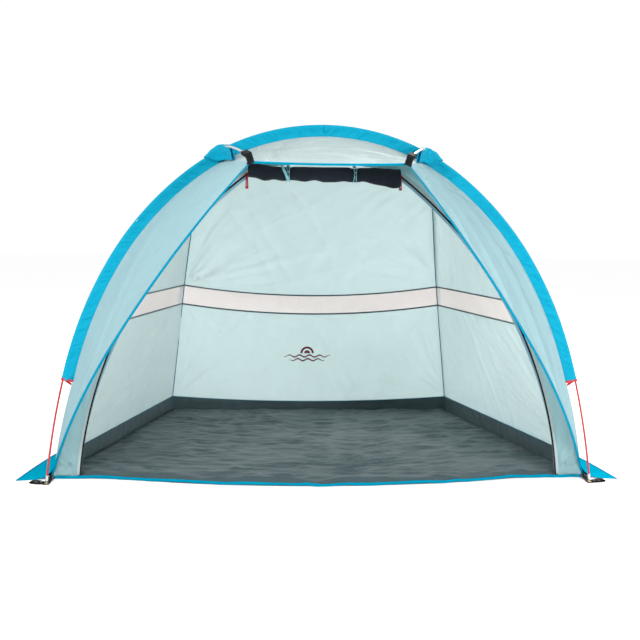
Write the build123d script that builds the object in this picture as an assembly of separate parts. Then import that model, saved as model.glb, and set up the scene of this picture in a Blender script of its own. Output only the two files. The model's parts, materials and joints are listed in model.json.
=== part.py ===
from build123d import *
import math
import os

# A beach tent: an arch pole carries an open-fronted canopy, and two struts run from the back corners
# over the arch to the corners of a small visor. Millimetres: X to the right, Y to the back, Z up.
# The model is worked out from the middle of the line between the arch's feet, then moved by ARCH_Y so
# that the origin is the middle of the footprint, on the ground.

ARCH_Y = -625.94
CLOTH = 1.0
SEAM_GAP = 0.4

# Main arch: bends from one foot over the crown, as (radius, degrees turned), in a plane leaning back.
ARCH_LEAN = 3.83
ARCH_BENDS = [(3170, 9), (1700, 16), (1282, 22), (918, 38)]
ARCH_SECTIONS = 7

# Struts, right-hand one: ground point, ferrule points and front end, one bend to each section.
STRUT_POINTS = [(825, 1515, 0), (759, 1441, 539), (679, 1205, 1020), (575, 746, 1294), (458, 216, 1396),
                (303, -315, 1335)]
STRUT_HEADING = (-0.129, -0.18, 1)

# Poles: hollow glass-fibre rod in sections, on an elastic cord, with metal ferrules and end tips.
POLE_R = 4.25
POLE_BORE_R = 2.4
CORD_R = 1.25
FERRULE_R = 5.5
FERRULE_LENGTH = 70
TIP_R = 5.5
TIP_CAP = 22
STUD_R = 2.75
STUD_LENGTH = 11
POLE_END = 14
CORD_END = 30

# Pole sleeves: a tube round the pole and a double fin of cloth in to the canopy seam.
SLEEVE_R = 7.0
SLEEVE_BORE_R = 6.0
ARCH_FIN = 40
STRUT_FIN = 27
FIN_THICK = 2.0
MOUTH_HEIGHT = 434
BINDING_LENGTH = 10
BINDING_THICK = 1.0
HOOD_R = 9.0
HOOD_BORE_R = 7.6
HOOD_BEHIND = 40
HOOD_AHEAD = 160

# Canopy seams.
SEAM_IN = 42
HEM_SEAM_IN = 8
HEM_CORNER = (1142, 90, 0)
BACK_CORNER = (806, 1491, 0)
SEAM_NARROWING = 0.7
EDGE_START = (1142, 90, 10)
EDGE_HEADING = (-218, -181, 618)
EDGE_MIDDLE = (863, -79, 579)
EAVE_CORNER = (295, -300, 1311)
EAVE_SAG_SLOPE = 0.035
TUB_HEIGHT = 92
WINDOW_LOW = 637
WINDOW_HIGH = 744
WINDOW_DROOP = 55
EDGE_BINDING = 7
EDGE_BINDING_THICK = 2.6
CORNER_TACK = 9

# Floor: the front edge bows forward.
FLOOR_THICK = 2.0
FLOOR_FRONT = [(-1142, 90), (-860, 70), (-500, -6), (0, -43), (500, -6), (860, 70), (1142, 90)]
HEM_WIDTH = 9
HEM_THICK = 4

# Doorway: each leg of its edge is one arc, so that the slider swings about that arc's centre.
DOOR_Y = 95
ZIP_CENTRE_X = -758
ZIP_CENTRE_Z = -142
ZIP_R = 1796
ZIP_FOOT = 4.9
ZIP_TOP = 53.3
DOOR_TOP_RISE = 32
SURROUND_LIFT = 0.3
SURROUND_INSET = 2
SURROUND_FOOT_HEIGHT = 20
SHOULDER_X = 465
TAPE_WIDTH = 15
TAPE_THICK = 1.2
TEETH_WIDTH = 3.2
TEETH_THICK = 3.0
SLIDER_LENGTH = 15
SLIDER_WIDTH = 11
SLIDER_THICK = 7.4
SLIDER_SLOT = 4.2
POST_R = 1.6
POST_LENGTH = 5
PULL_LENGTH = 66
PULL_WIDTH = 13
PULL_THICK = 2.4

# Door, rolled up and tied under the top of the doorway.
ROLL_LENGTH = 632
ROLL_R = 34
ROLL_Y = 52
ROLL_Z = 1287
TIE_X = (-150, 125)
TIE_R = 2.2
TOGGLE_R = 3.5
TOGGLE_LENGTH = 28
TOGGLE_RISE = 8

# Eave pockets that hold the struts' front ends.
POCKET_LENGTH = 54
POCKET_WIDTH = 28
POCKET_THICK = 14
POCKET_WALL = 1.2
POCKET_LIP = 8
FACE_HEIGHT = 40
FACE_DROP = 10
FACE_THICK = 1.8
FACE_TILT = 22

# Ground tabs, brass grommets and peg loops.
WEB = 25
WEB_THICK = 2.2
TAB_LIFT = 1.0
GROMMET_R = 9
GROMMET_BORE_R = 4.3
GROMMET_NECK_R = 6
GROMMET_THICK = 4.2
LOOP_LENGTH = 58
LOOP_HEIGHT = 12
LOOP_WALL = 1.6
LOOP_GAP = 2.5
FRONT_LOOP_TURN = 12

# Sand flaps, hung from the tub's side seams.
FLAP_OUT = 165
FLAP_AHEAD = 30
FLAP_END = 120
FLAP_BOW = 70
FLAP_GAP = 3
FLAP_THICK = 1.6


class Bend:
    """One circular arc, known by its start, heading, side towards its centre, radius and angle."""

    def __init__(self, start, heading, side, radius, angle):
        self.start = Vector(start)
        self.heading_0 = Vector(heading).normalized()
        self.side_0 = Vector(side).normalized()
        self.radius = radius
        self.angle = angle
        self.length = radius * angle
        self.centre = self.start + self.side_0 * radius

    def at(self, distance):
        turn = distance / self.radius
        ahead = self.heading_0 * (self.radius * math.sin(turn))
        return self.start + ahead + self.side_0 * (self.radius * (1 - math.cos(turn)))

    def heading(self, distance):
        turn = distance / self.radius
        return self.heading_0 * math.cos(turn) + self.side_0 * math.sin(turn)


def bend_to(start, heading, end):
    """The arc that leaves start along heading and ends at end."""
    chord = Vector(end) - Vector(start)
    heading = Vector(heading).normalized()
    side = chord - heading * chord.dot(heading)
    half = math.atan2(side.length, chord.dot(heading))
    return Bend(start, heading, side, chord.length / 2 / math.sin(half), 2 * half)


class Chain:
    """Arcs end to end, each leaving along the one before."""

    def __init__(self, bends):
        self.bends = bends
        self.length = sum(bend.length for bend in bends)

    def find(self, distance):
        for bend in self.bends[:-1]:
            if distance <= bend.length:
                return bend, distance
            distance -= bend.length
        return self.bends[-1], distance

    def at(self, distance):
        bend, along = self.find(distance)
        return bend.at(along)

    def heading(self, distance):
        bend, along = self.find(distance)
        return bend.heading(along)

    def spans(self, begin, finish):
        """Each bend that the stretch from begin to finish covers, with where on it."""
        passed = 0
        for bend in self.bends:
            low = max(begin - passed, 0)
            high = min(finish - passed, bend.length)
            if high - low > 1e-6:
                yield bend, low, high
            passed += bend.length


def chain_through(points, heading):
    bends = []
    for start, end in zip(points, points[1:]):
        bend = bend_to(start, heading, end)
        heading = bend.heading(bend.length)
        bends.append(bend)
    return Chain(bends)


def arch_chain():
    """The main arch from its left foot to its right foot."""
    lean = math.radians(ARCH_LEAN)
    up = Vector(0, math.sin(lean), math.cos(lean))
    across = Vector(1, 0, 0)
    turns = ARCH_BENDS + ARCH_BENDS[::-1]
    climb = math.radians(sum(turn for radius, turn in ARCH_BENDS))
    bends = []
    start = Vector(0, 0, 0)
    for radius, turn in turns:
        heading = across * math.cos(climb) + up * math.sin(climb)
        side = across * math.sin(climb) - up * math.cos(climb)
        bend = Bend(start, heading, side, radius, math.radians(turn))
        bends.append(bend)
        start = bend.at(bend.length)
        climb -= math.radians(turn)
    half_span = Vector(-start.X / 2, 0, 0)
    return Chain([Bend(b.start + half_span, b.heading_0, b.side_0, b.radius, b.angle) for b in bends])


def solve(function, low, high):
    """Where a function that rises or falls through zero between low and high is zero."""
    rising = function(high) > function(low)
    for step in range(50):
        middle = (low + high) / 2
        if (function(middle) > 0) == rising:
            high = middle
        else:
            low = middle
    return (low + high) / 2


def mix(a, b, share):
    return Vector(a) * (1 - share) + Vector(b) * share


ARCH = arch_chain()
ARCH_TOP = ARCH.length / 2
STRUT = chain_through(STRUT_POINTS, STRUT_HEADING)
ARCH_SLOPE = math.tan(math.radians(ARCH_LEAN))
STRUT_CROSS = solve(lambda s: STRUT.at(s).Y - ARCH_SLOPE * STRUT.at(s).Z, STRUT.length * 0.6, STRUT.length)
CROSS_X = STRUT.at(STRUT_CROSS).X
ARCH_CROSS = solve(lambda s: ARCH.at(s).X - CROSS_X, ARCH_TOP, ARCH.length)
MOUTH = solve(lambda s: ARCH.at(s).Z - MOUTH_HEIGHT, ARCH_TOP, ARCH.length)
EDGE = chain_through([EDGE_START, EDGE_MIDDLE, EAVE_CORNER], EDGE_HEADING)
EAVE_LEFT = (-EAVE_CORNER[0], EAVE_CORNER[1], EAVE_CORNER[2])
EAVE = chain_through([EAVE_CORNER, EAVE_LEFT], (-1, 0, -EAVE_SAG_SLOPE))


def inward(distance):
    """Across the arch pole, towards the doorway."""
    bend, along = ARCH.find(distance)
    return (bend.centre - bend.at(along)).normalized()


def arch_seam(distance, extra=0.0):
    """The canopy seam on the right half, from the crown to the hem corner behind the foot."""
    height = max(ARCH.at(distance).Z, 0)
    rise = min(height / MOUTH_HEIGHT, 1)
    width = HEM_SEAM_IN + (SEAM_IN - HEM_SEAM_IN) * rise ** SEAM_NARROWING + extra
    back = HEM_CORNER[1] * (1 - rise) ** 2
    return ARCH.at(distance) + inward(distance) * width + Vector(0, back, 0)


def seam_at_height(height, extra=0.0):
    reach = solve(lambda s: arch_seam(s).Z - height, ARCH_CROSS - 200, ARCH.length)
    return arch_seam(reach, extra)


SURROUND_FOOT = solve(lambda s: arch_seam(s).Z - SURROUND_FOOT_HEIGHT, ARCH_TOP, ARCH.length)
SURROUND_SHOULDER = solve(lambda s: arch_seam(s).X - SHOULDER_X, ARCH_TOP, ARCH.length)


def ridge(share):
    """The seam between the back and the side, from the ground corner (0) to the crossing (1)."""
    spot = STRUT.at(share * STRUT_CROSS)
    foot_step = Vector(BACK_CORNER) - STRUT.at(0)
    cross_step = arch_seam(ARCH_CROSS) - STRUT.at(STRUT_CROSS)
    return spot + mix(foot_step, cross_step, share ** 3)


def ridge_share(height):
    return solve(lambda share: ridge(share).Z - height, 0, 0.75)


def back_surface(share, across):
    """The back and roof: share climbs the ridges, across runs from -1 at the left to 1."""
    right = ridge(share)
    left = Vector(-right.X, right.Y, right.Z)
    seam_end = arch_seam(ARCH_CROSS)
    seam_spot = arch_seam(ARCH_TOP + abs(across) * (ARCH_CROSS - ARCH_TOP))
    crown = Vector(0, seam_spot.Y - seam_end.Y, seam_spot.Z - seam_end.Z)
    spread = math.copysign(seam_spot.X, across) - across * seam_end.X
    arching = max((share - 0.33) / 0.67, 0) ** 1.6
    even = share ** 0.576
    droop = WINDOW_DROOP * 4 * even * (1 - even) * (1 - across ** 2)
    spot = mix(left, right, (across + 1) / 2)
    return spot + crown * arching + Vector(spread * arching, 0, -droop)


def side_surface(height, back):
    """The right side between two equal heights: back is 0 at the arch and 1 at the ridge."""
    return mix(seam_at_height(height), ridge(ridge_share(height)), back)


def side_top_surface(rise, back):
    """The right side above its window, closing to a point where the strut crosses the arch."""
    low = ridge_share(WINDOW_HIGH)
    top = arch_seam(ARCH_CROSS).Z
    height = WINDOW_HIGH + (top - WINDOW_HIGH) * (1 - (1 - rise) ** 2)
    return mix(seam_at_height(height), ridge(low + (1 - low) * rise), back)


def wing_surface(along, ahead):
    """The right wing, between the arch seam and the front edge."""
    reach = ARCH.length + (ARCH_CROSS - ARCH.length) * along
    return mix(arch_seam(reach), EDGE.at(EDGE.length * along), ahead)


def visor_surface(across, ahead):
    seam_spot = arch_seam(ARCH_TOP + abs(across) * (ARCH_CROSS - ARCH_TOP))
    seam_spot = Vector(math.copysign(seam_spot.X, across), seam_spot.Y, seam_spot.Z)
    return mix(seam_spot, EAVE.at(EAVE.length * (1 - across) / 2), ahead)


def zip_spot(degrees, radius=ZIP_R):
    turn = math.radians(degrees)
    return Vector(ZIP_CENTRE_X + radius * math.cos(turn), DOOR_Y, ZIP_CENTRE_Z + radius * math.sin(turn))


def surround_leg_surface(along, inside):
    """One leg of the doorway's surround, from the seam in to the zipper."""
    degrees = ZIP_FOOT + SURROUND_LIFT + (ZIP_TOP - ZIP_FOOT - SURROUND_LIFT) * along
    edge = zip_spot(degrees, ZIP_R + TAPE_WIDTH / 2 + SEAM_GAP)
    reach = SURROUND_FOOT + (SURROUND_SHOULDER - SURROUND_FOOT) * along
    return mix(arch_seam(reach, SURROUND_INSET), edge, inside)


def surround_top_surface(across, inside):
    outer = arch_seam(ARCH_TOP + abs(across) * (SURROUND_SHOULDER - ARCH_TOP), SURROUND_INSET)
    outer = Vector(math.copysign(outer.X, across), outer.Y, outer.Z)
    corner = surround_leg_surface(1, 1)
    inner = Vector(across * corner.X, DOOR_Y, corner.Z + DOOR_TOP_RISE * (1 - across ** 2))
    return mix(outer, inner, inside)


def panel(surface, push, thick, first=(0, 1), second=(0, 1), rows=13, columns=9):
    """A cloth panel: a smooth face through points of the surface, given thickness along push."""
    push = Vector(push).normalized()
    grid = []
    for i in range(rows):
        a = first[0] + (first[1] - first[0]) * i / (rows - 1)
        row = []
        for j in range(columns):
            b = second[0] + (second[1] - second[0]) * j / (columns - 1)
            row.append(surface(a, b))
        grid.append(row)
    face = Face.make_surface_from_array_of_points(grid)
    if face.normal_at().dot(push) < 0:
        face = Face.make_surface_from_array_of_points(grid[::-1])
    return Solid.extrude(face, push * thick)


def along(chain, begin, finish, section, facing):
    """The solid that a section leaves along a chain. The section's X turns to facing(distance)."""
    pieces = []
    passed = begin
    for bend, low, high in chain.spans(begin, finish):
        heading = bend.heading(low)
        aim = facing(passed)
        aim = (aim - heading * aim.dot(heading)).normalized()
        place = Plane(origin=bend.at(low), x_dir=aim, z_dir=heading)
        axis = Axis(bend.centre, bend.heading_0.cross(bend.side_0))
        pieces.append(revolve(place * section, axis, math.degrees((high - low) / bend.radius)))
        passed += high - low
    solid = pieces[0]
    for piece in pieces[1:]:
        solid = solid + piece
    return solid


def ring(outer, inner):
    return Circle(outer) - Circle(inner)


def sleeve_section(fin):
    fin_plate = Pos(fin / 2, 0) * Rectangle(fin, FIN_THICK)
    return Circle(SLEEVE_R) + fin_plate - Circle(SLEEVE_BORE_R)


def binding_section(fin):
    inside = Circle(SLEEVE_R) + Pos(fin / 2, 0) * Rectangle(fin, FIN_THICK)
    length = fin + BINDING_THICK
    band = Pos(length / 2, 0) * Rectangle(length, FIN_THICK + 2 * BINDING_THICK)
    return Circle(SLEEVE_R + BINDING_THICK) + band - inside


def to_ridge(distance):
    share = min(distance / STRUT_CROSS, 1)
    return ridge(share) - STRUT.at(distance)


def any_side(distance):
    return Vector(1, 0.2, 0)


def tip(chain, at_start):
    """A metal cap on a pole's end, with a stud that drops into its grommet."""
    reach = POLE_END if at_start else chain.length - POLE_END
    heading = chain.heading(reach) * (-1 if at_start else 1)
    place = Plane(origin=chain.at(reach), z_dir=heading)
    cap = Pos(0, 0, -TIP_CAP / 2) * Cylinder(TIP_R, TIP_CAP) - Pos(0, 0, -TIP_CAP / 2) * Cylinder(POLE_R, TIP_CAP)
    shoulder = Cone(TIP_R, STUD_R, 3, align=(Align.CENTER, Align.CENTER, Align.MIN))
    stud = Cylinder(STUD_R, STUD_LENGTH, align=(Align.CENTER, Align.CENTER, Align.MIN))
    return place * (cap + shoulder + stud)


def pole_sections(chain, count):
    usable = chain.length - 2 * POLE_END
    step = usable / count
    sections = []
    for index in range(count):
        begin = POLE_END + index * step
        sections.append(along(chain, begin, begin + step, ring(POLE_R, POLE_BORE_R), any_side))
    return sections


def ferrules(chain, count):
    step = (chain.length - 2 * POLE_END) / count
    half = FERRULE_LENGTH / 2
    rings = []
    for index in range(1, count):
        joint = POLE_END + index * step
        rings.append(along(chain, joint - half, joint + half, ring(FERRULE_R, POLE_R), any_side))
    return rings


def shock_cord(chain):
    return along(chain, CORD_END, chain.length - CORD_END, Circle(CORD_R), any_side)


def mirrored(shape):
    return mirror(shape, about=Plane.YZ)


def both(shape):
    return [shape, mirrored(shape)]


def save(name, shapes):
    """Write one node, a solid or a group of separate solids, moved to the part's own origin."""
    if not isinstance(shapes, list):
        shapes = [shapes]
    solids = []
    for shape in shapes:
        solids += [Pos(0, ARCH_Y, 0) * solid for solid in shape.solids()]
    shape = solids[0] if len(solids) == 1 else Compound(children=solids)
    export_step(shape, f"parts/{name}.step")


def save_pair(name, right_shape):
    save(f"right_{name}", right_shape)
    save(f"left_{name}", mirrored(right_shape))


def build_poles():
    for index, section in enumerate(pole_sections(ARCH, ARCH_SECTIONS)):
        save(f"main_pole_section_{index + 1}", section)
    save("main_pole_ferrules", ferrules(ARCH, ARCH_SECTIONS))
    save("main_pole_shock_cord", shock_cord(ARCH))
    save("main_pole_tips", [tip(ARCH, True), tip(ARCH, False)])
    count = len(STRUT_POINTS) - 1
    sections = pole_sections(STRUT, count)
    save("right_strut_sections", sections)
    save("left_strut_sections", [mirrored(section) for section in sections])
    rings = ferrules(STRUT, count)
    save("strut_ferrules", rings + [mirrored(piece) for piece in rings])
    save("strut_shock_cords", both(shock_cord(STRUT)))
    save("strut_ground_tips", both(tip(STRUT, True)))
    save("strut_front_caps", both(front_cap()))


def front_cap():
    reach = STRUT.length - POLE_END
    place = Plane(origin=STRUT.at(reach), z_dir=STRUT.heading(reach))
    low = (Align.CENTER, Align.CENTER, Align.MIN)
    cap = Pos(0, 0, -TIP_CAP) * Cylinder(TIP_R, TIP_CAP + TIP_R, align=low)
    cap = fillet(cap.edges().group_by(Axis.Z)[-1], TIP_R / 3)
    return place * (cap - Pos(0, 0, -TIP_CAP) * Cylinder(POLE_R, TIP_CAP, align=low))


def build_sleeves():
    section = sleeve_section(ARCH_FIN)
    save_pair("main_sleeve", along(ARCH, ARCH_TOP + SEAM_GAP, MOUTH, section, inward))
    bound = along(ARCH, MOUTH - BINDING_LENGTH, MOUTH, binding_section(ARCH_FIN), inward)
    save("sleeve_mouth_bindings", both(bound))
    fin_end = STRUT_CROSS - HOOD_BEHIND - SEAM_GAP
    save_pair("strut_sleeve", along(STRUT, 60, fin_end, sleeve_section(STRUT_FIN), to_ridge))
    save_pair("crossing_hood", crossing_hood())


def crossing_hood():
    """The patch that carries the strut over the arch sleeve: a short tube on a saddle."""
    tube = along(STRUT, STRUT_CROSS - HOOD_BEHIND, STRUT_CROSS + HOOD_AHEAD, Circle(HOOD_R), any_side)
    hole = along(STRUT, STRUT_CROSS - 2 * HOOD_BEHIND, STRUT_CROSS + 2 * HOOD_AHEAD, Circle(HOOD_BORE_R), any_side)
    top = STRUT.at(STRUT_CROSS)
    drop = top - ARCH.at(ARCH_CROSS)
    place = Plane(origin=top - drop * 0.5, x_dir=STRUT.heading(STRUT_CROSS), z_dir=drop)
    saddle = place * Box(34, 16, drop.length)
    under = along(ARCH, ARCH_CROSS - 60, ARCH_CROSS + 60, Circle(SLEEVE_R + SEAM_GAP), any_side)
    return tube + saddle - hole - under


def build_canopy():
    low = ridge_share(WINDOW_LOW)
    high = ridge_share(WINDOW_HIGH)
    tub = ridge_share(TUB_HEIGHT)
    gap = 0.0003
    edge = (-1, 1)
    save("back_lower", panel(back_surface, (0, 1, 0.2), CLOTH, (tub + gap, low - gap), edge, 7, 9))
    save("back_window", panel(back_surface, (0, 1, 0.2), CLOTH, (low, high), edge, 4, 9))
    save("back_upper", panel(back_surface, (0, 0.6, 0.8), CLOTH, (high + gap, 1), edge, 17, 13))
    side = (1, 0.2, 0.25)
    span = (0.001, 0.999)
    save_pair("side_lower", panel(side_surface, side, CLOTH, (TUB_HEIGHT + SEAM_GAP, WINDOW_LOW - SEAM_GAP), span))
    save_pair("side_window", panel(side_surface, side, CLOTH, (WINDOW_LOW, WINDOW_HIGH), span, 4))
    save_pair("side_upper", panel(side_top_surface, (1, 0.2, 1), CLOTH, (0.001, 0.96), span, 15))
    save_pair("wing", panel(wing_surface, (0.6, -0.6, 0.5), CLOTH, (0.1, 0.995), (0.004, 0.995), 21, 5))
    save("visor", panel(visor_surface, (0, -0.2, 1), CLOTH, (-0.995, 0.995), (0.004, 0.99), 13, 5))
    leg = panel(surround_leg_surface, (0, 1, 0), CLOTH, rows=17, columns=4)
    top = panel(surround_top_surface, (0, 1, 0), CLOTH, (-1, 1), rows=13, columns=4)
    save("door_surround", leg + top + mirrored(leg))
    strip = Rectangle(EDGE_BINDING_THICK, EDGE_BINDING)
    edge_side = along(EDGE, 15, EDGE.length, strip, any_side)
    eave = along(EAVE, 0, EAVE.length, Rectangle(EDGE_BINDING, EDGE_BINDING_THICK), lambda s: Vector(0, 1, 0))
    corner = Pos(EAVE_CORNER) * Box(CORNER_TACK, CORNER_TACK, CORNER_TACK)
    save("front_edge_binding", edge_side + corner + eave + mirrored(corner) + mirrored(edge_side))


def floor_outline(reach=0.0):
    front = [(x, y - reach) for x, y in FLOOR_FRONT]
    curve = Spline([Vector(x, y, 0) for x, y in front])
    back_x = BACK_CORNER[0]
    back_y = BACK_CORNER[1]
    sides = Polyline(front[-1], (back_x, back_y), (-back_x, back_y), front[0])
    return make_face(curve + sides)


def build_floor():
    plate = extrude(floor_outline(), FLOOR_THICK)
    tub = ridge_share(TUB_HEIGHT)
    back = panel(back_surface, (0, -1, 0), CLOTH, (0, tub), (-1, 1), 4, 9)
    side = panel(side_surface, (-1, 0, 0), CLOTH, (0.5, TUB_HEIGHT), (0.03, 1), 4, 5)
    save("floor_tub", plate + back + side + mirrored(side))
    ahead = extrude(floor_outline(HEM_WIDTH), HEM_THICK)
    behind = extrude(floor_outline(SEAM_GAP), HEM_THICK)
    strip = ahead - behind
    save("floor_front_hem", strip & Box(2 * HEM_CORNER[0] - HEM_WIDTH, 2 * HEM_WIDTH + 400, 4 * HEM_THICK))


def zip_ring(inner, outer, thick, begin, finish, shift=0.0):
    """A piece of the doorway's arc, thick in Y about the doorway's plane."""
    middle = (inner + outer) / 2
    turn = math.radians(begin)
    out = Vector(math.cos(turn), 0, math.sin(turn))
    heading = Vector(-math.sin(turn), 0, math.cos(turn))
    place = Plane(origin=zip_spot(begin, middle) + Vector(0, shift, 0), x_dir=out, z_dir=heading)
    axis = Axis((ZIP_CENTRE_X, DOOR_Y, ZIP_CENTRE_Z), (0, -1, 0))
    return revolve(place * Rectangle(outer - inner, thick), axis, finish - begin)


def build_zippers():
    half = TAPE_WIDTH / 2
    tape = zip_ring(ZIP_R - half, ZIP_R + half, TAPE_THICK, ZIP_FOOT, ZIP_TOP)
    teeth = zip_ring(ZIP_R - half, ZIP_R - half + TEETH_WIDTH, TEETH_THICK, ZIP_FOOT, ZIP_TOP)
    save_pair("zipper", tape + teeth)
    length = math.degrees(SLIDER_LENGTH / ZIP_R)
    begin = ZIP_TOP - length - 0.1
    inner = ZIP_R - half - 3.5
    body = zip_ring(inner, inner + SLIDER_WIDTH, SLIDER_THICK, begin, begin + length)
    slot = zip_ring(ZIP_R - half - 0.6, ZIP_R + TAPE_WIDTH, SLIDER_SLOT, begin - 1, begin + length + 1)
    post_spot = zip_spot(begin + length / 2, inner + SLIDER_WIDTH / 2)
    post_plane = Plane(origin=post_spot + Vector(0, -SLIDER_THICK / 2, 0), z_dir=(0, -1, 0))
    post = Cylinder(POST_R, POST_LENGTH, align=(Align.CENTER, Align.CENTER, Align.MIN))
    head = Pos(0, 0, POST_LENGTH - 1) * Cylinder(POST_R * 1.7, 1, align=(Align.CENTER, Align.CENTER, Align.MIN))
    save_pair("slider", body - slot + post_plane * (post + head))
    save_pair("pull", pull_at(post_spot))


def pull_at(spot):
    """A doubled cord tab that hangs from the slider's post."""
    face_y = spot.Y - SLIDER_THICK / 2 - POST_LENGTH / 2 + 0.5
    drop = PULL_LENGTH / 2 - PULL_WIDTH / 2
    outline = SlotOverall(PULL_LENGTH, PULL_WIDTH, rotation=90)
    hole = Pos(0, drop) * Circle(POST_R + 0.5)
    place = Plane(origin=(spot.X, face_y, spot.Z - drop), x_dir=(1, 0, 0), z_dir=(0, -1, 0))
    return place * extrude(outline - hole, PULL_THICK / 2, both=True)


def build_door():
    roll = Plane.YZ * Pos(ROLL_Y, ROLL_Z) * Circle(ROLL_R)
    roll = extrude(roll, ROLL_LENGTH / 2, both=True)
    save("rolled_door", fillet(roll.edges(), ROLL_R / 3))
    ties = []
    loop_r = ROLL_R + TIE_R + SEAM_GAP
    toggle_y = ROLL_Y - loop_r - TIE_R - TOGGLE_R - SEAM_GAP
    for name, x in zip(("left", "right"), TIE_X):
        place = Plane(origin=(x, ROLL_Y, ROLL_Z), z_dir=(1, 0, 0))
        ties.append(place * Torus(loop_r, TIE_R))
        toggle = Pos(x, toggle_y, ROLL_Z + TOGGLE_RISE) * Cylinder(TOGGLE_R, TOGGLE_LENGTH)
        save(f"{name}_toggle", fillet(toggle.edges(), TOGGLE_R / 3))
    save("door_ties", ties)


def build_pockets():
    """Doubled webbing at each eave corner: a cup for the strut's end, faced by a slanting tab."""
    reach = STRUT.length
    heading = STRUT.heading(reach)
    place = Plane(origin=STRUT.at(reach), x_dir=heading.cross(Vector(0, 0, 1)), z_dir=heading)
    shift = Pos(0, 0, POCKET_LIP - POCKET_LENGTH / 2)
    block = shift * Box(POCKET_WIDTH, POCKET_THICK, POCKET_LENGTH)
    block = fillet(block.edges().filter_by(Axis.Z), POCKET_THICK / 3)
    hollow = Pos(0, 0, -POCKET_WALL) * shift * Box(POCKET_WIDTH - 8, POCKET_THICK - 2, POCKET_LENGTH)
    face = Rot(0, 0, -FACE_TILT) * Pos(0, FACE_DROP, POCKET_LIP + FACE_THICK / 2)
    face = face * Box(POCKET_WIDTH, FACE_HEIGHT, FACE_THICK)
    save_pair("eave_pocket", place * (block - hollow + face))


def tab_plate(length, turn):
    """Webbing with a hole for its grommet, from behind the foot outwards."""
    back = Pos(-length / 2 + WEB / 2, 0) * Rectangle(length, WEB)
    return extrude(Rot(0, 0, turn) * back - Circle(GROMMET_NECK_R), WEB_THICK)


def grommet():
    low = (Align.CENTER, Align.CENTER, Align.MIN)
    flange = Cylinder(GROMMET_R, TAB_LIFT, align=low)
    neck = Cylinder(GROMMET_NECK_R, GROMMET_THICK, align=low)
    bore = Cylinder(GROMMET_BORE_R, GROMMET_THICK, align=low)
    return flange + Pos(0, 0, GROMMET_THICK - TAB_LIFT) * flange + neck - bore


def peg_loop():
    """A loop of webbing that starts at the origin and reaches out along X."""
    middle = LOOP_GAP + LOOP_LENGTH / 2
    outer = SlotOverall(LOOP_LENGTH, LOOP_HEIGHT)
    inner = SlotOverall(LOOP_LENGTH - 2 * LOOP_WALL, LOOP_HEIGHT - 2 * LOOP_WALL)
    place = Plane(origin=(middle, 0, LOOP_HEIGHT / 2), x_dir=(1, 0, 0), z_dir=(0, -1, 0))
    return place * extrude(outer - inner, WEB / 2, both=True)


def build_ground():
    front_foot = Vector(ARCH.at(ARCH.length).X, 0, 0)
    back_foot = STRUT.at(0)
    out = back_foot - Vector(BACK_CORNER)
    out_turn = math.degrees(math.atan2(out.Y, out.X))
    lift = Vector(0, 0, TAB_LIFT)
    front_tab = Pos(front_foot + lift) * (tab_plate(WEB, 0) + tab_plate(WEB / 2 + HEM_CORNER[1] - 5, -90))
    back_tab = Pos(back_foot + lift) * tab_plate(WEB / 2 + out.length - 3, out_turn)
    save("front_ground_tabs", both(front_tab))
    save("back_ground_tabs", both(back_tab))
    save("grommets", both(Pos(front_foot) * grommet()) + both(Pos(back_foot) * grommet()))
    front_loop = Pos(front_foot) * Rot(0, 0, FRONT_LOOP_TURN) * Pos(WEB / 2, 0, 0) * peg_loop()
    back_loop = Pos(back_foot) * Rot(0, 0, out_turn) * Pos(WEB / 2, 0, 0) * peg_loop()
    save_pair("front_peg_loop", front_loop)
    save_pair("back_peg_loop", back_loop)


def build_flaps():
    """Flaps that slope from the tub's side seam down to the sand."""
    inner_front = side_surface(TUB_HEIGHT, 0.012) + Vector(FLAP_GAP, 0, 0)
    inner_back = side_surface(TUB_HEIGHT, 0.985) + Vector(FLAP_GAP, 0, 0)
    outer_front = Vector(inner_front.X + FLAP_OUT, inner_front.Y - FLAP_AHEAD, 0.6)
    outer_back = Vector(inner_back.X + FLAP_END, inner_back.Y - 60, 0.6)

    def surface(a, b):
        bow = Vector(FLAP_BOW * b * math.sin(math.pi * a), 0, 0)
        return mix(mix(inner_front, inner_back, a), mix(outer_front, outer_back, a), b) + bow

    save_pair("sand_flap", panel(surface, (0.3, 0, 1), FLAP_THICK, rows=7, columns=3))


os.makedirs("parts", exist_ok=True)
build_poles()
build_sleeves()
build_canopy()
build_floor()
build_zippers()
build_door()
build_pockets()
build_ground()
build_flaps()
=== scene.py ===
import json
import math

import bpy
import numpy as np
from mathutils import Matrix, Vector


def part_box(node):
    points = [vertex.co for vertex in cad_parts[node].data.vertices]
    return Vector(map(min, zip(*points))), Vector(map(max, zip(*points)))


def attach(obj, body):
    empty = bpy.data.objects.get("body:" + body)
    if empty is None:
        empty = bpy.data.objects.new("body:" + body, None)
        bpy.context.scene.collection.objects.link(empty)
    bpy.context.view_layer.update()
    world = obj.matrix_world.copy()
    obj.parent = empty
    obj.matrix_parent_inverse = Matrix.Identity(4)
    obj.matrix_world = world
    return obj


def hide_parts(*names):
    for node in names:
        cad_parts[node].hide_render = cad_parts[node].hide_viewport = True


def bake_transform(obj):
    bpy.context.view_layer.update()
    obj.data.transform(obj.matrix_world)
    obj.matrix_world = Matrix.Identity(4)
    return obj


# The looks of a beach tent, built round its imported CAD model. Metres: X to the right, Y to the back, Z up.
# Curves and surfaces repeat the CAD's own driving dimensions, worked out from the middle of the line
# between the arch's feet; place() then moves each piece by FEET_Y into the row frame.

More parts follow.
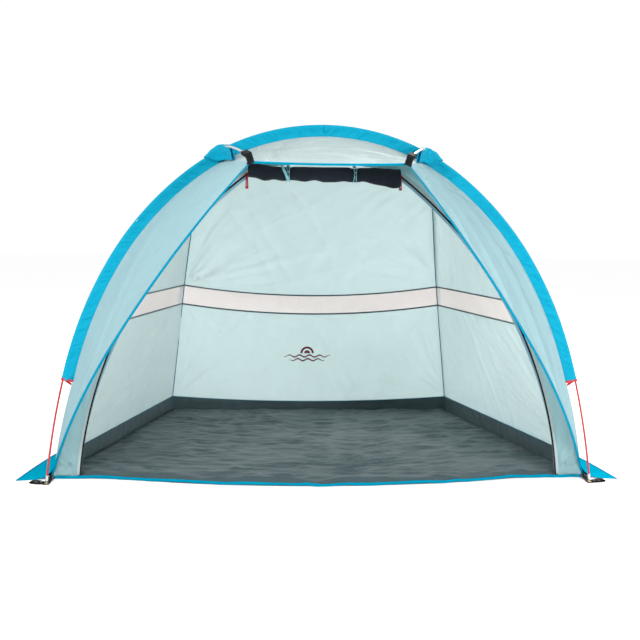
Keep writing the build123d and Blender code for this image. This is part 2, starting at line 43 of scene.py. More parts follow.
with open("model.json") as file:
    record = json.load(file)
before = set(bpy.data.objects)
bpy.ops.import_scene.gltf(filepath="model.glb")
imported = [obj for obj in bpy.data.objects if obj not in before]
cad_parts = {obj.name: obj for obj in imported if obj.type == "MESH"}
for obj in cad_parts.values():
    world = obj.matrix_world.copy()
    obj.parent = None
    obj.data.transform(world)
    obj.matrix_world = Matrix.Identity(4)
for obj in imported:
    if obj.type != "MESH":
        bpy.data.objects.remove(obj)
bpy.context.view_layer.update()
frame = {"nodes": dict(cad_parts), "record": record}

FEET_Y = -0.62594
ARCH_LEAN = math.radians(3.83)
ARCH_CLIMB = math.radians(85)
ARCH_BENDS = [(3.17, 9), (1.7, 16), (1.282, 22), (0.918, 38)]
STRUT_POINTS = [(0.825, 1.515, 0), (0.759, 1.441, 0.539), (0.679, 1.205, 1.02), (0.575, 0.746, 1.294),
                (0.458, 0.216, 1.396), (0.303, -0.315, 1.335)]
STRUT_HEADING = (-0.129, -0.18, 1)
MOUTH_HEIGHT = 0.434
SEAM_IN = 0.042
HEM_SEAM_IN = 0.008
HEM_CORNER = (1.142, 0.09, 0)
BACK_CORNER = (0.806, 1.491, 0)
EDGE_POINTS = [(1.142, 0.09, 0.01), (0.863, -0.079, 0.579), (0.295, -0.3, 1.311)]
EDGE_HEADING = (-0.218, -0.31, 0.618)
EAVE_DIP = 0.035
TUB_HEIGHT = 0.092
WINDOW_LOW = 0.637
WINDOW_HIGH = 0.744
WINDOW_DROOP = 0.055
FLOOR_FRONT = [(-1.142, 0.09), (-0.86, 0.07), (-0.5, -0.006), (0, -0.043), (0.5, -0.006), (0.86, 0.07),
               (1.142, 0.09)]
DOOR_Y = 0.095
ZIP_CENTRE = (-0.758, -0.142)
ZIP_R = 1.796
ZIP_FOOT = 4.9
ZIP_TOP = 53.3
TAPE_WIDTH = 0.015
DOOR_TOP_RISE = 0.032
SHOULDER_X = 0.465
HOOD_BEHIND = 0.04
HOOD_AHEAD = 0.16
ROLL_LENGTH = 0.632
ROLL_R = 0.034
ROLL_Y = 0.052
ROLL_Z = 1.287
TIE_X = (-0.15, 0.125)
WEB = 0.025
CLOTH = 0.0009
FLAP_CLOTH = 0.0008
SLEEVE_CLOTH = 0.0006
FLOOR_LIFT = 0.0012

ACROSS = np.array([1.0, 0, 0])
BACK = np.array([0, 1.0, 0])
UP = np.array([0, 0, 1.0])
FLIP = np.array([-1.0, 1, 1])

# Each side's name, what the right half's points are multiplied by for it, and where its noise seeds start.
SIDES = (("right", np.ones(3), 0), ("left", FLIP, 50))


# ---------------------------------------------------------------- vectors, curves and noise

def unit(v):
    return v / np.maximum(np.linalg.norm(v, axis=-1, keepdims=True), 1e-12)


def mix(a, b, share):
    share = np.asarray(share, float)[..., None]
    return np.asarray(a) * (1 - share) + np.asarray(b) * share


def smooth(x):
    x = np.clip(x, 0, 1)
    return x * x * (3 - 2 * x)


class Line:
    """A smooth curve in space, read by the distance along it."""

    def __init__(self, points):
        self.points = np.asarray(points, float)
        steps = np.linalg.norm(np.diff(self.points, axis=0), axis=1)
        self.marks = np.concatenate([[0], np.cumsum(steps)])
        self.length = self.marks[-1]

    def at(self, distance):
        return np.stack([np.interp(distance, self.marks, self.points[:, k]) for k in range(3)], -1)

    def heading(self, distance):
        step = 0.002
        return unit(self.at(np.asarray(distance) + step) - self.at(np.asarray(distance) - step))

    def even(self, count, begin=0.0):
        return self.at(np.linspace(begin, self.length, count))


def arc(start, heading, side, radius, angle, count=60):
    turn = np.linspace(0, angle, count)[:, None]
    return start + heading * (radius * np.sin(turn)) + side * (radius * (1 - np.cos(turn)))


def arch_line():
    """The main pole from its left foot to its right foot."""
    climb = ARCH_CLIMB
    points = np.zeros((1, 3))
    for radius, turn in ARCH_BENDS + ARCH_BENDS[::-1]:
        heading = ACROSS * math.cos(climb) + ARCH_UP * math.sin(climb)
        side = ACROSS * math.sin(climb) - ARCH_UP * math.cos(climb)
        bend = arc(points[-1], heading, side, radius, math.radians(turn))
        points = np.concatenate([points, bend[1:]])
        climb -= math.radians(turn)
    return Line(points - ACROSS * points[-1, 0] / 2)


def line_through(points, heading):
    """Arcs through points, each leaving along the one before."""
    path = np.array([points[0]], float)
    heading = unit(np.array(heading, float))
    for end in np.array(points[1:], float):
        chord = end - path[-1]
        side = chord - heading * (chord @ heading)
        half = math.atan2(np.linalg.norm(side), chord @ heading)
        radius = np.linalg.norm(chord) / 2 / math.sin(half)
        side = unit(side)
        path = np.concatenate([path, arc(path[-1], heading, side, radius, 2 * half)[1:]])
        heading = heading * math.cos(2 * half) + side * math.sin(2 * half)
    return Line(path)


def hashed(i, j, seed):
    n = np.sin(i * 127.1 + j * 311.7 + seed * 74.7) * 43758.5453
    return 2 * (n - np.floor(n)) - 1


def noise(x, y, seed):
    """Smooth noise from -1 to 1 over a plane, the same each run."""
    i, j = np.floor(x), np.floor(y)
    u, v = smooth(x - i), smooth(y - j)
    low = hashed(i, j, seed) * (1 - u) + hashed(i + 1, j, seed) * u
    high = hashed(i, j + 1, seed) * (1 - u) + hashed(i + 1, j + 1, seed) * u
    return low * (1 - v) + high * v


def creased(x, y, seed):
    """Noise with sharp ridges in place of round hills."""
    return 1 - 2 * np.abs(noise(x, y, seed)) ** 0.8


ARCH_UP = BACK * math.sin(ARCH_LEAN) + UP * math.cos(ARCH_LEAN)
ARCH = arch_line()
ARCH_TOP = ARCH.length / 2
STRUT = line_through(STRUT_POINTS, STRUT_HEADING)
BEHIND_ARCH = STRUT.points[:, 1] - math.tan(ARCH_LEAN) * STRUT.points[:, 2]
STRUT_CROSS = float(np.interp(0, -BEHIND_ARCH, STRUT.marks))
CROSS_X = STRUT.at(STRUT_CROSS)[0]
ARCH_CROSS = float(np.interp(CROSS_X, ARCH.points[:, 0], ARCH.marks))
MOUTH = ARCH.length - float(np.interp(MOUTH_HEIGHT, ARCH.points[:60, 2], ARCH.marks[:60]))
EDGE = line_through(EDGE_POINTS, EDGE_HEADING)
EAVE_CORNER = np.array(EDGE_POINTS[-1])
EAVE = line_through([EAVE_CORNER, EAVE_CORNER * FLIP], (-1, 0, -EAVE_DIP))


# ---------------------------------------------------------------- the tent's surfaces

def inward(distance):
    """Across the arch pole, towards the doorway."""
    heading = ARCH.heading(distance)
    rise = (heading @ ARCH_UP)[..., None]
    return ACROSS * rise - ARCH_UP * heading[..., :1]


def arch_seam(distance, extra=0.0):
    """The canopy seam on the right half, from the crown to the hem corner."""
    spot = ARCH.at(distance)
    rise = np.clip(spot[..., 2] / MOUTH_HEIGHT, 0, 1)
    width = HEM_SEAM_IN + (SEAM_IN - HEM_SEAM_IN) * rise ** 0.7 + extra
    return spot + inward(distance) * width[..., None] + BACK * (HEM_CORNER[1] * (1 - rise) ** 2)[..., None]


SEAM_REACH = np.linspace(ARCH_CROSS - 0.2, ARCH.length, 900)
SEAM_HEIGHTS = arch_seam(SEAM_REACH)[:, 2]
CROSS_SEAM = arch_seam(np.array(ARCH_CROSS))
SURROUND_FOOT = float(np.interp(-0.02, -SEAM_HEIGHTS, SEAM_REACH))
TOP_REACH = np.linspace(ARCH_TOP, ARCH.length, 900)
SURROUND_SHOULDER = float(np.interp(SHOULDER_X, arch_seam(TOP_REACH)[:600, 0], TOP_REACH[:600]))


def seam_at_height(height):
    """The canopy seam's spot at a height, on the right half."""
    return arch_seam(np.interp(-height, -SEAM_HEIGHTS, SEAM_REACH))


def ridge(share):
    """The seam between the back and the side, from the ground corner (0) to the crossing (1)."""
    share = np.asarray(share, float)
    step = mix(np.array(BACK_CORNER) - STRUT.at(0.0), CROSS_SEAM - STRUT.at(STRUT_CROSS), share ** 3)
    return STRUT.at(share * STRUT_CROSS) + step


RIDGE_SHARES = np.linspace(0, 0.75, 500)
RIDGE_HEIGHTS = ridge(RIDGE_SHARES)[:, 2]


def ridge_share(height):
    """How far up the ridge a height comes."""
    return np.interp(height, RIDGE_HEIGHTS, RIDGE_SHARES)


def two_sided(spot, across):
    """spot on the right half, carried over to the left where across is negative."""
    return spot * np.where(across < 0, -1.0, 1.0)[..., None] ** np.array([1, 0, 0])


def back_surface(share, across):
    """Back wall and roof: share goes up the ridges, and across from the left one (-1) to the right (1)."""
    right = ridge(share)
    seam_spot = arch_seam(ARCH_TOP + np.abs(across) * (ARCH_CROSS - ARCH_TOP))
    crown = seam_spot - CROSS_SEAM
    crown[..., 0] = np.copysign(seam_spot[..., 0], across) - across * CROSS_SEAM[0]
    arching = np.maximum((share - 0.33) / 0.67, 0) ** 1.6
    even = share ** 0.576
    droop = WINDOW_DROOP * 4 * even * (1 - even) * (1 - across ** 2)
    spot = mix(right * FLIP, right, (across + 1) / 2)
    return spot + crown * arching[..., None] - UP * droop[..., None]


def side_surface(height, back):
    """The right wall, from the canopy seam (0) back to the ridge (1)."""
    return mix(seam_at_height(height), ridge(ridge_share(height)), back)


def side_top_surface(rise, back):
    """The right wall's corner above the window, up to where the poles cross."""
    low = ridge_share(WINDOW_HIGH)
    height = WINDOW_HIGH + (CROSS_SEAM[2] - WINDOW_HIGH) * (1 - (1 - rise) ** 2)
    return mix(seam_at_height(height), ridge(low + (1 - low) * rise), back)


def wing_surface(along, ahead):
    """The right wing, from the seam on the arch (0) to its front edge (1)."""
    reach = ARCH.length + (ARCH_CROSS - ARCH.length) * along
    return mix(arch_seam(reach), EDGE.at(EDGE.length * along), ahead)


def visor_surface(across, ahead):
    """The roof ahead of the arch, from its seam (0) to the eave (1)."""
    seam_spot = two_sided(arch_seam(ARCH_TOP + np.abs(across) * (ARCH_CROSS - ARCH_TOP)), across)
    return mix(seam_spot, EAVE.at(EAVE.length * (1 - across) / 2), ahead)


def zip_spot(degrees, radius, ahead=0.0):
    """A spot on an arc round the right zipper's centre, ahead of the doorway's plane."""
    turn = np.radians(degrees)
    x = ZIP_CENTRE[0] + radius * np.cos(turn)
    return np.stack([x, np.full_like(x, DOOR_Y - ahead), ZIP_CENTRE[1] + radius * np.sin(turn)], -1)


def surround_leg_surface(along, inside):
    """The strip beside the doorway, from the seam (0) to the zipper (1)."""
    edge = zip_spot(ZIP_FOOT + (ZIP_TOP - ZIP_FOOT) * along, ZIP_R + TAPE_WIDTH / 2)
    reach = SURROUND_FOOT + (SURROUND_SHOULDER - SURROUND_FOOT) * along
    return mix(arch_seam(reach, 0.002), edge, inside)


def surround_top_surface(across, inside):
    """The strip over the doorway, from the seam (0) to the door's top edge (1)."""
    outer = arch_seam(ARCH_TOP + np.abs(across) * (SURROUND_SHOULDER - ARCH_TOP), 0.002)
    corner = surround_leg_surface(np.array(1.0), np.array(1.0))
    rise = corner[2] + DOOR_TOP_RISE * (1 - across ** 2)
    inner = np.stack([across * corner[0], np.full_like(across, DOOR_Y), rise], -1)
    return mix(two_sided(outer, across), inner, inside)


# ---------------------------------------------------------------- meshes

def place(name, vertices, faces, uv, finish, body="root", crisp=55):
    """Makes one mesh piece: faces is a list of equal-sized arrays, and uv has one row per face corner.

    A piece with no body is left without a parent.
    """
    mesh = bpy.data.meshes.new(name)
    corners = np.concatenate([f.ravel() for f in faces]).astype(np.int32)
    sizes = np.concatenate([np.full(len(f), f.shape[1]) for f in faces]).astype(np.int32)
    starts = np.concatenate([[0], np.cumsum(sizes)[:-1]]).astype(np.int32)
    mesh.vertices.add(len(vertices))
    mesh.vertices.foreach_set("co", (np.asarray(vertices) + BACK * FEET_Y).astype(np.float32).ravel())
    mesh.loops.add(len(corners))
    mesh.loops.foreach_set("vertex_index", corners)
    mesh.polygons.add(len(sizes))
    mesh.polygons.foreach_set("loop_start", starts)
    mesh.polygons.foreach_set("loop_total", sizes)
    mesh.update(calc_edges=True)
    layer = mesh.uv_layers.new(name="UVMap")
    layer.data.foreach_set("uv", np.asarray(uv, np.float32).ravel())
    mesh.validate()
    mesh.shade_smooth()
    mesh.set_sharp_from_angle(angle=math.radians(crisp))
    piece = bpy.data.objects.new(name, mesh)
    bpy.context.scene.collection.objects.link(piece)
    mesh.materials.append(MATERIALS[finish])
    if body:
        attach(piece, body)
    return piece


def grid_normals(points, wrap=False):
    ahead = np.gradient(points, axis=0)
    if wrap:
        aside = (np.roll(points, -1, 1) - np.roll(points, 1, 1)) / 2
    else:
        aside = np.gradient(points, axis=1)
    return unit(np.cross(ahead, aside))


def flat_map(points, wrap=False):
    """Distances over the cloth from its first corner: across the columns and along the rows."""
    if wrap:
        points = np.concatenate([points, points[:, :1]], 1)
    across = np.linalg.norm(np.diff(points, axis=1), axis=2)
    along = np.linalg.norm(np.diff(points, axis=0), axis=2)
    u = np.concatenate([np.zeros((len(points), 1)), np.cumsum(across, 1)], 1)
    v = np.concatenate([np.zeros((1, points.shape[1])), np.cumsum(along, 0)], 0)
    return u, v


def cloth(name, points, finish, body="root", thick=CLOTH, wrap=False):
    """A closed thin sheet through a grid of points: two layers of quads and a rim."""
    rows, columns = points.shape[:2]
    normal = grid_normals(points, wrap)
    vertices = np.concatenate([(points + normal * thick / 2).reshape(-1, 3),
                               (points - normal * thick / 2).reshape(-1, 3)])
    index = np.arange(rows * columns).reshape(rows, columns)
    u, v = flat_map(points, wrap)
    spot = np.stack([u, v], -1)
    if wrap:
        index = np.concatenate([index, index[:, :1]], 1)
    other = index + rows * columns

    def quads(grid):
        return np.stack([grid[:-1, :-1], grid[1:, :-1], grid[1:, 1:], grid[:-1, 1:]], 2)

    def rim(a, b):
        quad = np.stack([index[b], index[a], other[a], other[b]], -1)
        return quad, np.stack([spot[b], spot[a], spot[a], spot[b]], 1)

    front = quads(index).reshape(-1, 4)
    spots = np.stack([spot[:-1, :-1], spot[1:, :-1], spot[1:, 1:], spot[:-1, 1:]], 2).reshape(-1, 4, 2)
    faces = [front, quads(other).reshape(-1, 4)[:, ::-1]]
    uvs = [spots, spots[:, ::-1]]
    last_row, last_column = index.shape[0] - 1, index.shape[1] - 1
    row_at, column_at = np.arange(last_row), np.arange(last_column)
    edges = [((0, column_at + 1), (0, column_at)), ((last_row, column_at), (last_row, column_at + 1))]
    if not wrap:
        edges += [((row_at, 0), (row_at + 1, 0)), ((row_at + 1, last_column), (row_at, last_column))]
    for a, b in edges:
        quad, quad_uv = rim(a, b)
        faces.append(quad)
        uvs.append(quad_uv)
    uv = np.concatenate([x.reshape(-1, 2) for x in uvs])
    return place(name, vertices, faces, uv, finish, body)


def aimed(line, facing):
    """For points on a line, unit vectors across it: x turned towards facing, and y square to both."""
    heading = unit(np.gradient(line, axis=0))
    x = unit(facing - heading * (facing * heading).sum(-1, keepdims=True))
    return x, np.cross(heading, x)


def swept(line, facing, section):
    """The closed solid that a section, a loop of (x, y), leaves along a line of points."""
    line = np.asarray(line, float)
    facing = np.broadcast_to(np.asarray(facing, float), line.shape)
    x, y = aimed(line, facing)
    section = np.broadcast_to(section, (len(line),) + np.asarray(section).shape[-2:])
    points = line[:, None] + x[:, None] * section[..., :1] + y[:, None] * section[..., 1:]
    rows, columns = points.shape[:2]
    index = np.arange(rows * columns).reshape(rows, columns)
    index = np.concatenate([index, index[:, :1]], 1)
    u, v = flat_map(points, True)
    spot = np.stack([u, v], -1)
    side = np.stack([index[:-1, :-1], index[:-1, 1:], index[1:, 1:], index[1:, :-1]], 2).reshape(-1, 4)
    side_uv = np.stack([spot[:-1, :-1], spot[:-1, 1:], spot[1:, 1:], spot[1:, :-1]], 2).reshape(-1, 4, 2)
    caps = np.stack([index[0, :-1][::-1], index[-1, :-1]])
    cap_uv = np.concatenate([section[0][::-1], section[-1]])
    return points.reshape(-1, 3), [side, caps], [side_uv.reshape(-1, 2), cap_uv]


def place_parts(name, parts, finish, body="root"):
    """One piece from several closed solids."""
    vertices = []
    faces = []
    uvs = []
    offset = 0
    for points, part_faces, part_uvs in parts:
        vertices.append(points)
        faces += [f + offset for f in part_faces]
        uvs += part_uvs
        offset += len(points)
    return place(name, np.concatenate(vertices), faces, np.concatenate(uvs), finish, body)


def sweep(name, line, facing, section, finish):
    """One piece that is a single swept solid."""
    return place_parts(name, [swept(line, facing, section)], finish)


def circle(radius, count):
    turn = np.linspace(0, 2 * math.pi, count, endpoint=False)
    return np.stack([radius * np.cos(turn), radius * np.sin(turn)], -1)


def slab(width, thick, edge=4):
    """A flat strip's section, with round edges."""
    turn = np.linspace(-math.pi / 2, math.pi / 2, edge + 1)
    half = (width - thick) / 2
    right = np.stack([half + np.cos(turn) * thick / 2, np.sin(turn) * thick / 2], -1)
    return np.concatenate([right, -right])


def mirrored(parts):
    """The same solids on the left: their faces turn round so that they still look outwards."""
    turned = []
    for points, faces, uvs in parts:
        flipped = [uv.reshape(f.shape + (2,))[:, ::-1].reshape(-1, 2) for f, uv in zip(faces, uvs)]
        turned.append((points * FLIP, [f[:, ::-1] for f in faces], flipped))
    return turned


def on_side(side, parts):
    """Solids made for the right half, mirrored if side is the left."""
    return parts if side == "right" else mirrored(parts)


def copies(solid, spots, x, y, z):
    """One part holding a copy of a small solid at each spot, turned to the axes x, y and z."""
    points, faces, uvs = solid
    count = len(spots)
    moved = (points[None, :, :1] * x[:, None] + points[None, :, 1:2] * y[:, None]
             + points[None, :, 2:] * z[:, None] + spots[:, None])
    offsets = np.arange(count)[:, None, None] * len(points)
    many = [(f[None] + offsets).reshape(-1, f.shape[1]) for f in faces]
    return moved.reshape(-1, 3), many, [np.tile(uv, (count, 1)) for uv in uvs]


def stitches(line, up, pitch=0.005, length=0.0034, thread=0.0006):
    """A row of short thread capsules along a line of points, standing on the side that up points to."""
    up = np.broadcast_to(np.asarray(up, float), line.shape)
    row, lift = Line(line), Line(up)
    lift.marks = row.marks
    spots = np.arange(pitch / 2, row.length, pitch)
    heading = row.heading(spots)
    x = unit(lift.at(spots))
    x = unit(x - heading * (x * heading).sum(-1, keepdims=True))
    y = np.cross(heading, x)
    bow = np.array([[-0.2, 0, -0.5], [0.5, 0, -0.3], [0.5, 0, 0.3], [-0.2, 0, 0.5]])
    capsule = swept(bow * np.array([thread, 0, length]), ACROSS, circle(thread / 2, 5))
    return copies(capsule, row.at(spots), x, y, heading)


def smooth_path(points, count):
    """A curve through points, rounded at each of them."""
    points = np.array(points, float)
    slopes = np.gradient(points, axis=0)
    spots = np.linspace(0, len(points) - 1, count)
    k = np.minimum(spots.astype(int), len(points) - 2)
    t = (spots - k)[:, None]
    a, b = points[k], points[k + 1]
    return (a * (2 * t ** 3 - 3 * t ** 2 + 1) + slopes[k] * (t ** 3 - 2 * t ** 2 + t)
            + b * (3 * t ** 2 - 2 * t ** 3) + slopes[k + 1] * (t ** 3 - t ** 2))


# ---------------------------------------------------------------- materials

def colour(red, green, blue):
    """A linear colour from everyday 0 to 255 values."""
    parts = [c / 255 / 12.92 if c <= 10 else ((c / 255 + 0.055) / 1.055) ** 2.4 for c in (red, green, blue)]
    return (*parts, 1.0)


def darker(tone, share):
    return (*[c * share for c in tone[:3]], 1.0)


class Paint:
    """One material's nodes."""

    def __init__(self, name):
        self.material = bpy.data.materials.new(name)
        self.material.use_nodes = True
        self.tree = self.material.node_tree
        self.tree.nodes.clear()

    def node(self, kind, inputs, **settings):
        made = self.tree.nodes.new("ShaderNode" + kind)
        for key, value in settings.items():
            setattr(made, key, value)
        for key, value in inputs.items():
            if isinstance(value, bpy.types.NodeSocket):
                self.tree.links.new(value, made.inputs[key])
            else:
                made.inputs[key].default_value = value
        return made

    def math(self, operation, a, b=0.0):
        return self.node("Math", {0: a, 1: b}, operation=operation).outputs[0]

    def wave(self, value, pitch):
        return self.math("SINE", self.math("MULTIPLY", value, 2 * math.pi / pitch))

    def cloud(self, where, scale, detail=3.0, rough=0.55):
        inputs = {"Vector": where, "Scale": scale, "Detail": detail, "Roughness": rough}
        return self.node("TexNoise", inputs).outputs[0]

    def blend(self, share, low, high):
        return self.node("MixRGB", {0: share, 1: low, 2: high}).outputs[0]

    def bump(self, height, strength, distance=0.0004, normal=None):
        inputs = {"Height": height, "Strength": strength, "Distance": distance}
        if normal:
            inputs["Normal"] = normal
        return self.node("Bump", inputs).outputs[0]

    def finish(self, shader):
        out = self.node("OutputMaterial", {})
        self.tree.links.new(shader.outputs[0], out.inputs["Surface"])
        return self.material


def fabric(name, tone, through=0.0, rough=0.7, pitch=0.0012, relief=0.3, mottle=0.08, sheen=0.1, ribbed=0.0,
           coat=0.0, crumple=0.0, gloss=0.35):
    """Woven cloth: threads both ways, a faint cloudiness, and light let through where through is above 0."""
    paint = Paint(name)
    uv = paint.node("UVMap", {}).outputs[0]
    parts = paint.node("SeparateXYZ", {0: uv})
    warp = paint.wave(parts.outputs[0], pitch * (1 + 1.5 * ribbed))
    weft = paint.wave(parts.outputs[1], pitch)
    thread = paint.math("MULTIPLY", warp, weft)
    if ribbed:
        square = paint.math("MULTIPLY", thread, 1 - ribbed)
        thread = paint.math("ADD", square, paint.math("MULTIPLY", weft, ribbed))
    cloud = paint.cloud(uv, 9.0, 5.0)
    fleck = paint.cloud(uv, 900.0, 1.0)
    share = paint.math("ADD", paint.math("MULTIPLY", thread, 0.16), paint.math("MULTIPLY", cloud, 0.9))
    share = paint.math("ADD", share, paint.math("MULTIPLY", fleck, 0.2))
    base = paint.blend(share, darker(tone, 1 - mottle), darker(tone, 1 + mottle))
    normal = paint.bump(thread, relief)
    if crumple:
        folds = paint.cloud(uv, 28.0, 6.0, 0.62)
        normal = paint.bump(folds, crumple, 0.008, normal)
    inputs = {"Base Color": base, "Roughness": rough, "Sheen Weight": sheen, "Sheen Roughness": 0.45,
              "Specular IOR Level": gloss, "Coat Weight": coat, "Coat Roughness": 0.35, "Normal": normal}
    shader = paint.node("BsdfPrincipled", inputs)
    if through:
        light = paint.node("BsdfTranslucent", {"Color": base, "Normal": normal})
        shader = paint.node("MixShader", {0: through, 1: shader.outputs[0], 2: light.outputs[0]})
    return paint.finish(shader)


def netting(name, tone, pitch=0.0018, hole=0.42):
    """Fine insect mesh: round-edged threads with open squares between them."""
    paint = Paint(name)
    uv = paint.node("UVMap", {}).outputs[0]
    parts = paint.node("SeparateXYZ", {0: uv})
    across = paint.math("ABSOLUTE", paint.wave(parts.outputs[0], pitch * 2))
    along = paint.math("ABSOLUTE", paint.wave(parts.outputs[1], pitch * 2))
    gap = paint.math("MINIMUM", across, along)
    opened = paint.math("GREATER_THAN", gap, 1 - hole)
    cloud = paint.cloud(uv, 14.0, 4.0)
    base = paint.blend(cloud, darker(tone, 0.93), darker(tone, 1.06))
    normal = paint.bump(gap, 0.5, -0.0005)
    shader = paint.node("BsdfPrincipled", {"Base Color": base, "Roughness": 0.8, "Sheen Weight": 0.2,
                                           "Specular IOR Level": 0.2, "Normal": normal})
    light = paint.node("BsdfTranslucent", {"Color": base})
    solid = paint.node("MixShader", {0: 0.4, 1: shader.outputs[0], 2: light.outputs[0]})
    clear = paint.node("BsdfTransparent", {"Color": (1, 1, 1, 1)})
    return paint.finish(paint.node("MixShader", {0: opened, 1: solid.outputs[0], 2: clear.outputs[0]}))


def hard(name, tone, rough=0.35, metal=0.0, grain=60.0, wear=0.08, coat=0.0, stretch=(1, 1, 1), relief=0.08):
    """Plastic, lacquer or metal, with fine grain, cloudy wear and a roughness that varies with it."""
    paint = Paint(name)
    where = paint.node("TexCoord", {}).outputs["Object"]
    where = paint.node("Mapping", {"Vector": where, "Scale": stretch}).outputs[0]
    cloud = paint.cloud(where, grain, 4.0)
    fine = paint.cloud(where, grain * 14, 2.0)
    base = paint.blend(cloud, darker(tone, 1 - wear), darker(tone, 1 + wear))
    scuffed = paint.math("ADD", paint.math("MULTIPLY", fine, 0.16), rough - 0.08)
    normal = paint.bump(fine, relief, 0.0002)
    return paint.finish(paint.node("BsdfPrincipled", {
        "Base Color": base, "Metallic": metal, "Roughness": scuffed, "Coat Weight": coat,
        "Coat Roughness": 0.1, "Normal": normal}))


SHEER = {"rough": 0.62, "sheen": 0.05, "mottle": 0.03, "gloss": 0.2}
COATED = {"pitch": 0.0022, "relief": 0.5}
SEAM = {"through": 0.1, "rough": 0.6, "ribbed": 0.4, "pitch": 0.0014, "relief": 0.5}
THREAD = {"rough": 0.6, "pitch": 0.0006}
POLE = {"rough": 0.4, "stretch": (1, 1, 0.1)}

CLOTHS = {
    "canopy_cloth": ((211, 222, 222), SHEER | {"through": 0.64}),
    # The wings' cloth: the canopy cloth made darker and bluer, which is painted shade.
    "wing_cloth": ((184, 211, 216), SHEER | {"through": 0.64}),
    # The doorway surround's cloth: the canopy cloth made darker still, which is painted shade from the visor
    # and wings.
    "shade_cloth": ((176, 208, 212), SHEER | {"through": 0.6}),
    "sleeve_cloth": ((0, 163, 194), {"through": 0.4, "rough": 0.55, "sheen": 0.0, "mottle": 0.06,
                                     "gloss": 0.12}),
    "flap_cloth": ((0, 156, 186), {"through": 0.2, "rough": 0.9, "sheen": 0.0, "mottle": 0.08, "gloss": 0.0}),
    "floor_sheet": ((50, 65, 69), COATED | {"rough": 0.42, "mottle": 0.2, "crumple": 1.0, "coat": 0.15}),
    "tub_cloth": ((61, 78, 82), COATED | {"rough": 0.5, "mottle": 0.14, "crumple": 0.7, "coat": 0.1}),
    "door_mesh": ((13, 22, 31), {"rough": 0.8, "pitch": 0.0016, "relief": 0.7, "sheen": 0.05, "mottle": 0.2,
                                 "gloss": 0.2}),
    "binding_tape": ((0, 128, 158), {"through": 0.1, "rough": 0.9, "ribbed": 0.6, "pitch": 0.0014,
                                     "relief": 0.6, "sheen": 0.0, "gloss": 0.0}),
    "piping_slate": ((74, 92, 98), {"rough": 0.6, "ribbed": 0.6, "pitch": 0.0014, "relief": 0.6}),
    "seam_teal": ((36, 108, 124), SEAM),
    "seam_deep": ((0, 118, 160), SEAM | {"sheen": 0.0, "gloss": 0.1}),
    "mouth_webbing": ((168, 34, 44), {"rough": 0.6, "ribbed": 0.7, "pitch": 0.0018, "relief": 0.8}),
    "webbing_black": ((12, 12, 12), {"rough": 0.8, "ribbed": 0.7, "pitch": 0.002, "relief": 0.9,
                                     "sheen": 0.03, "mottle": 0.2, "gloss": 0.12}),
    "tie_cord": ((122, 184, 194), {"through": 0.1, "rough": 0.6, "ribbed": 0.3, "pitch": 0.0014,
                                   "relief": 0.8}),
    "pull_red": ((158, 10, 28), {"rough": 0.6, "ribbed": 0.3, "pitch": 0.0013, "relief": 0.9}),
    "emblem_print": ((128, 44, 58), {"through": 0.3, "rough": 0.5, "relief": 0.15, "mottle": 0.05}),
    "fly_cloth": ((150, 186, 200), {"through": 0.4, "rough": 0.6, "sheen": 0.05}),
    "thread_white": ((225, 236, 238), THREAD),
    "thread_dark": ((14, 70, 96), THREAD),
    "zipper_black": ((20, 22, 25), {"rough": 0.7, "ribbed": 0.5, "pitch": 0.0015, "relief": 0.8, "sheen": 0.0,
                                    "gloss": 0.15}),
}
HARDS = {
    "pole_red": ((154, 6, 12), POLE | {"coat": 0.1, "wear": 0.05}),
    "pole_white": ((160, 158, 155), POLE | {"coat": 0.3, "wear": 0.04}),
    "ferrule_metal": ((190, 192, 194), {"rough": 0.34, "metal": 1.0, "stretch": (1, 1, 0.15)}),
    "tip_metal": ((198, 200, 202), {"rough": 0.3, "metal": 1.0, "grain": 90.0}),
    "shock_cord": ((24, 24, 26), {"rough": 0.7, "grain": 300.0, "relief": 0.4}),
    "cap_black": ((26, 26, 28), {"rough": 0.45, "grain": 200.0, "relief": 0.25}),
    "toggle_plastic": ((24, 25, 27), {"rough": 0.4, "grain": 240.0, "relief": 0.3}),
    "slider_metal": ((38, 39, 42), {"rough": 0.36, "metal": 0.85, "grain": 160.0, "wear": 0.2}),
    "brass": ((196, 160, 84), {"rough": 0.28, "metal": 1.0, "grain": 180.0, "wear": 0.15}),
}


def make_materials():
    made = {"window_mesh": netting("window_mesh", colour(218, 212, 209))}
    for name, (tone, settings) in CLOTHS.items():
        made[name] = fabric(name, colour(*tone), **settings)
    for name, (tone, settings) in HARDS.items():
        made[name] = hard(name, colour(*tone), **settings)
    return made


def studio_floor():
    paint = Paint("studio_floor")
    where = paint.node("TexCoord", {}).outputs["Object"]
    base = paint.blend(paint.cloud(where, 1.5, 2.0), (0.955, 0.955, 0.955, 1), (0.97, 0.97, 0.97, 1))
    return paint.finish(paint.node("BsdfPrincipled", {"Base Color": base, "Roughness": 0.9,
                                                      "Specular IOR Level": 0.1}))


MATERIALS = make_materials()


# ---------------------------------------------------------------- camera, floor and light

def make_camera():
    """The main view: a little left of the middle, at a standing child's eye height."""
    yaw, pitch, roll = 0.0488, 0.1018, 0.0103
    ahead = np.array([math.sin(yaw) * math.cos(pitch), math.cos(yaw) * math.cos(pitch), -math.sin(pitch)])
    right = np.array([math.cos(yaw), -math.sin(yaw), 0])
    up = np.cross(right, ahead)
    right, up = right * math.cos(roll) + up * math.sin(roll), up * math.cos(roll) - right * math.sin(roll)
    data = bpy.data.cameras.new("camera")
    data.sensor_width = 36
    data.lens = 50.625
    camera = bpy.data.objects.new("camera", data)
    bpy.context.scene.collection.objects.link(camera)
    axes = Matrix([list(row) for row in np.stack([right, up, -ahead], 1)]).to_4x4()
    axes.translation = (-0.1956, -3.6988 + FEET_Y, 1.0693)
    camera.matrix_world = axes
    bpy.context.scene.camera = camera


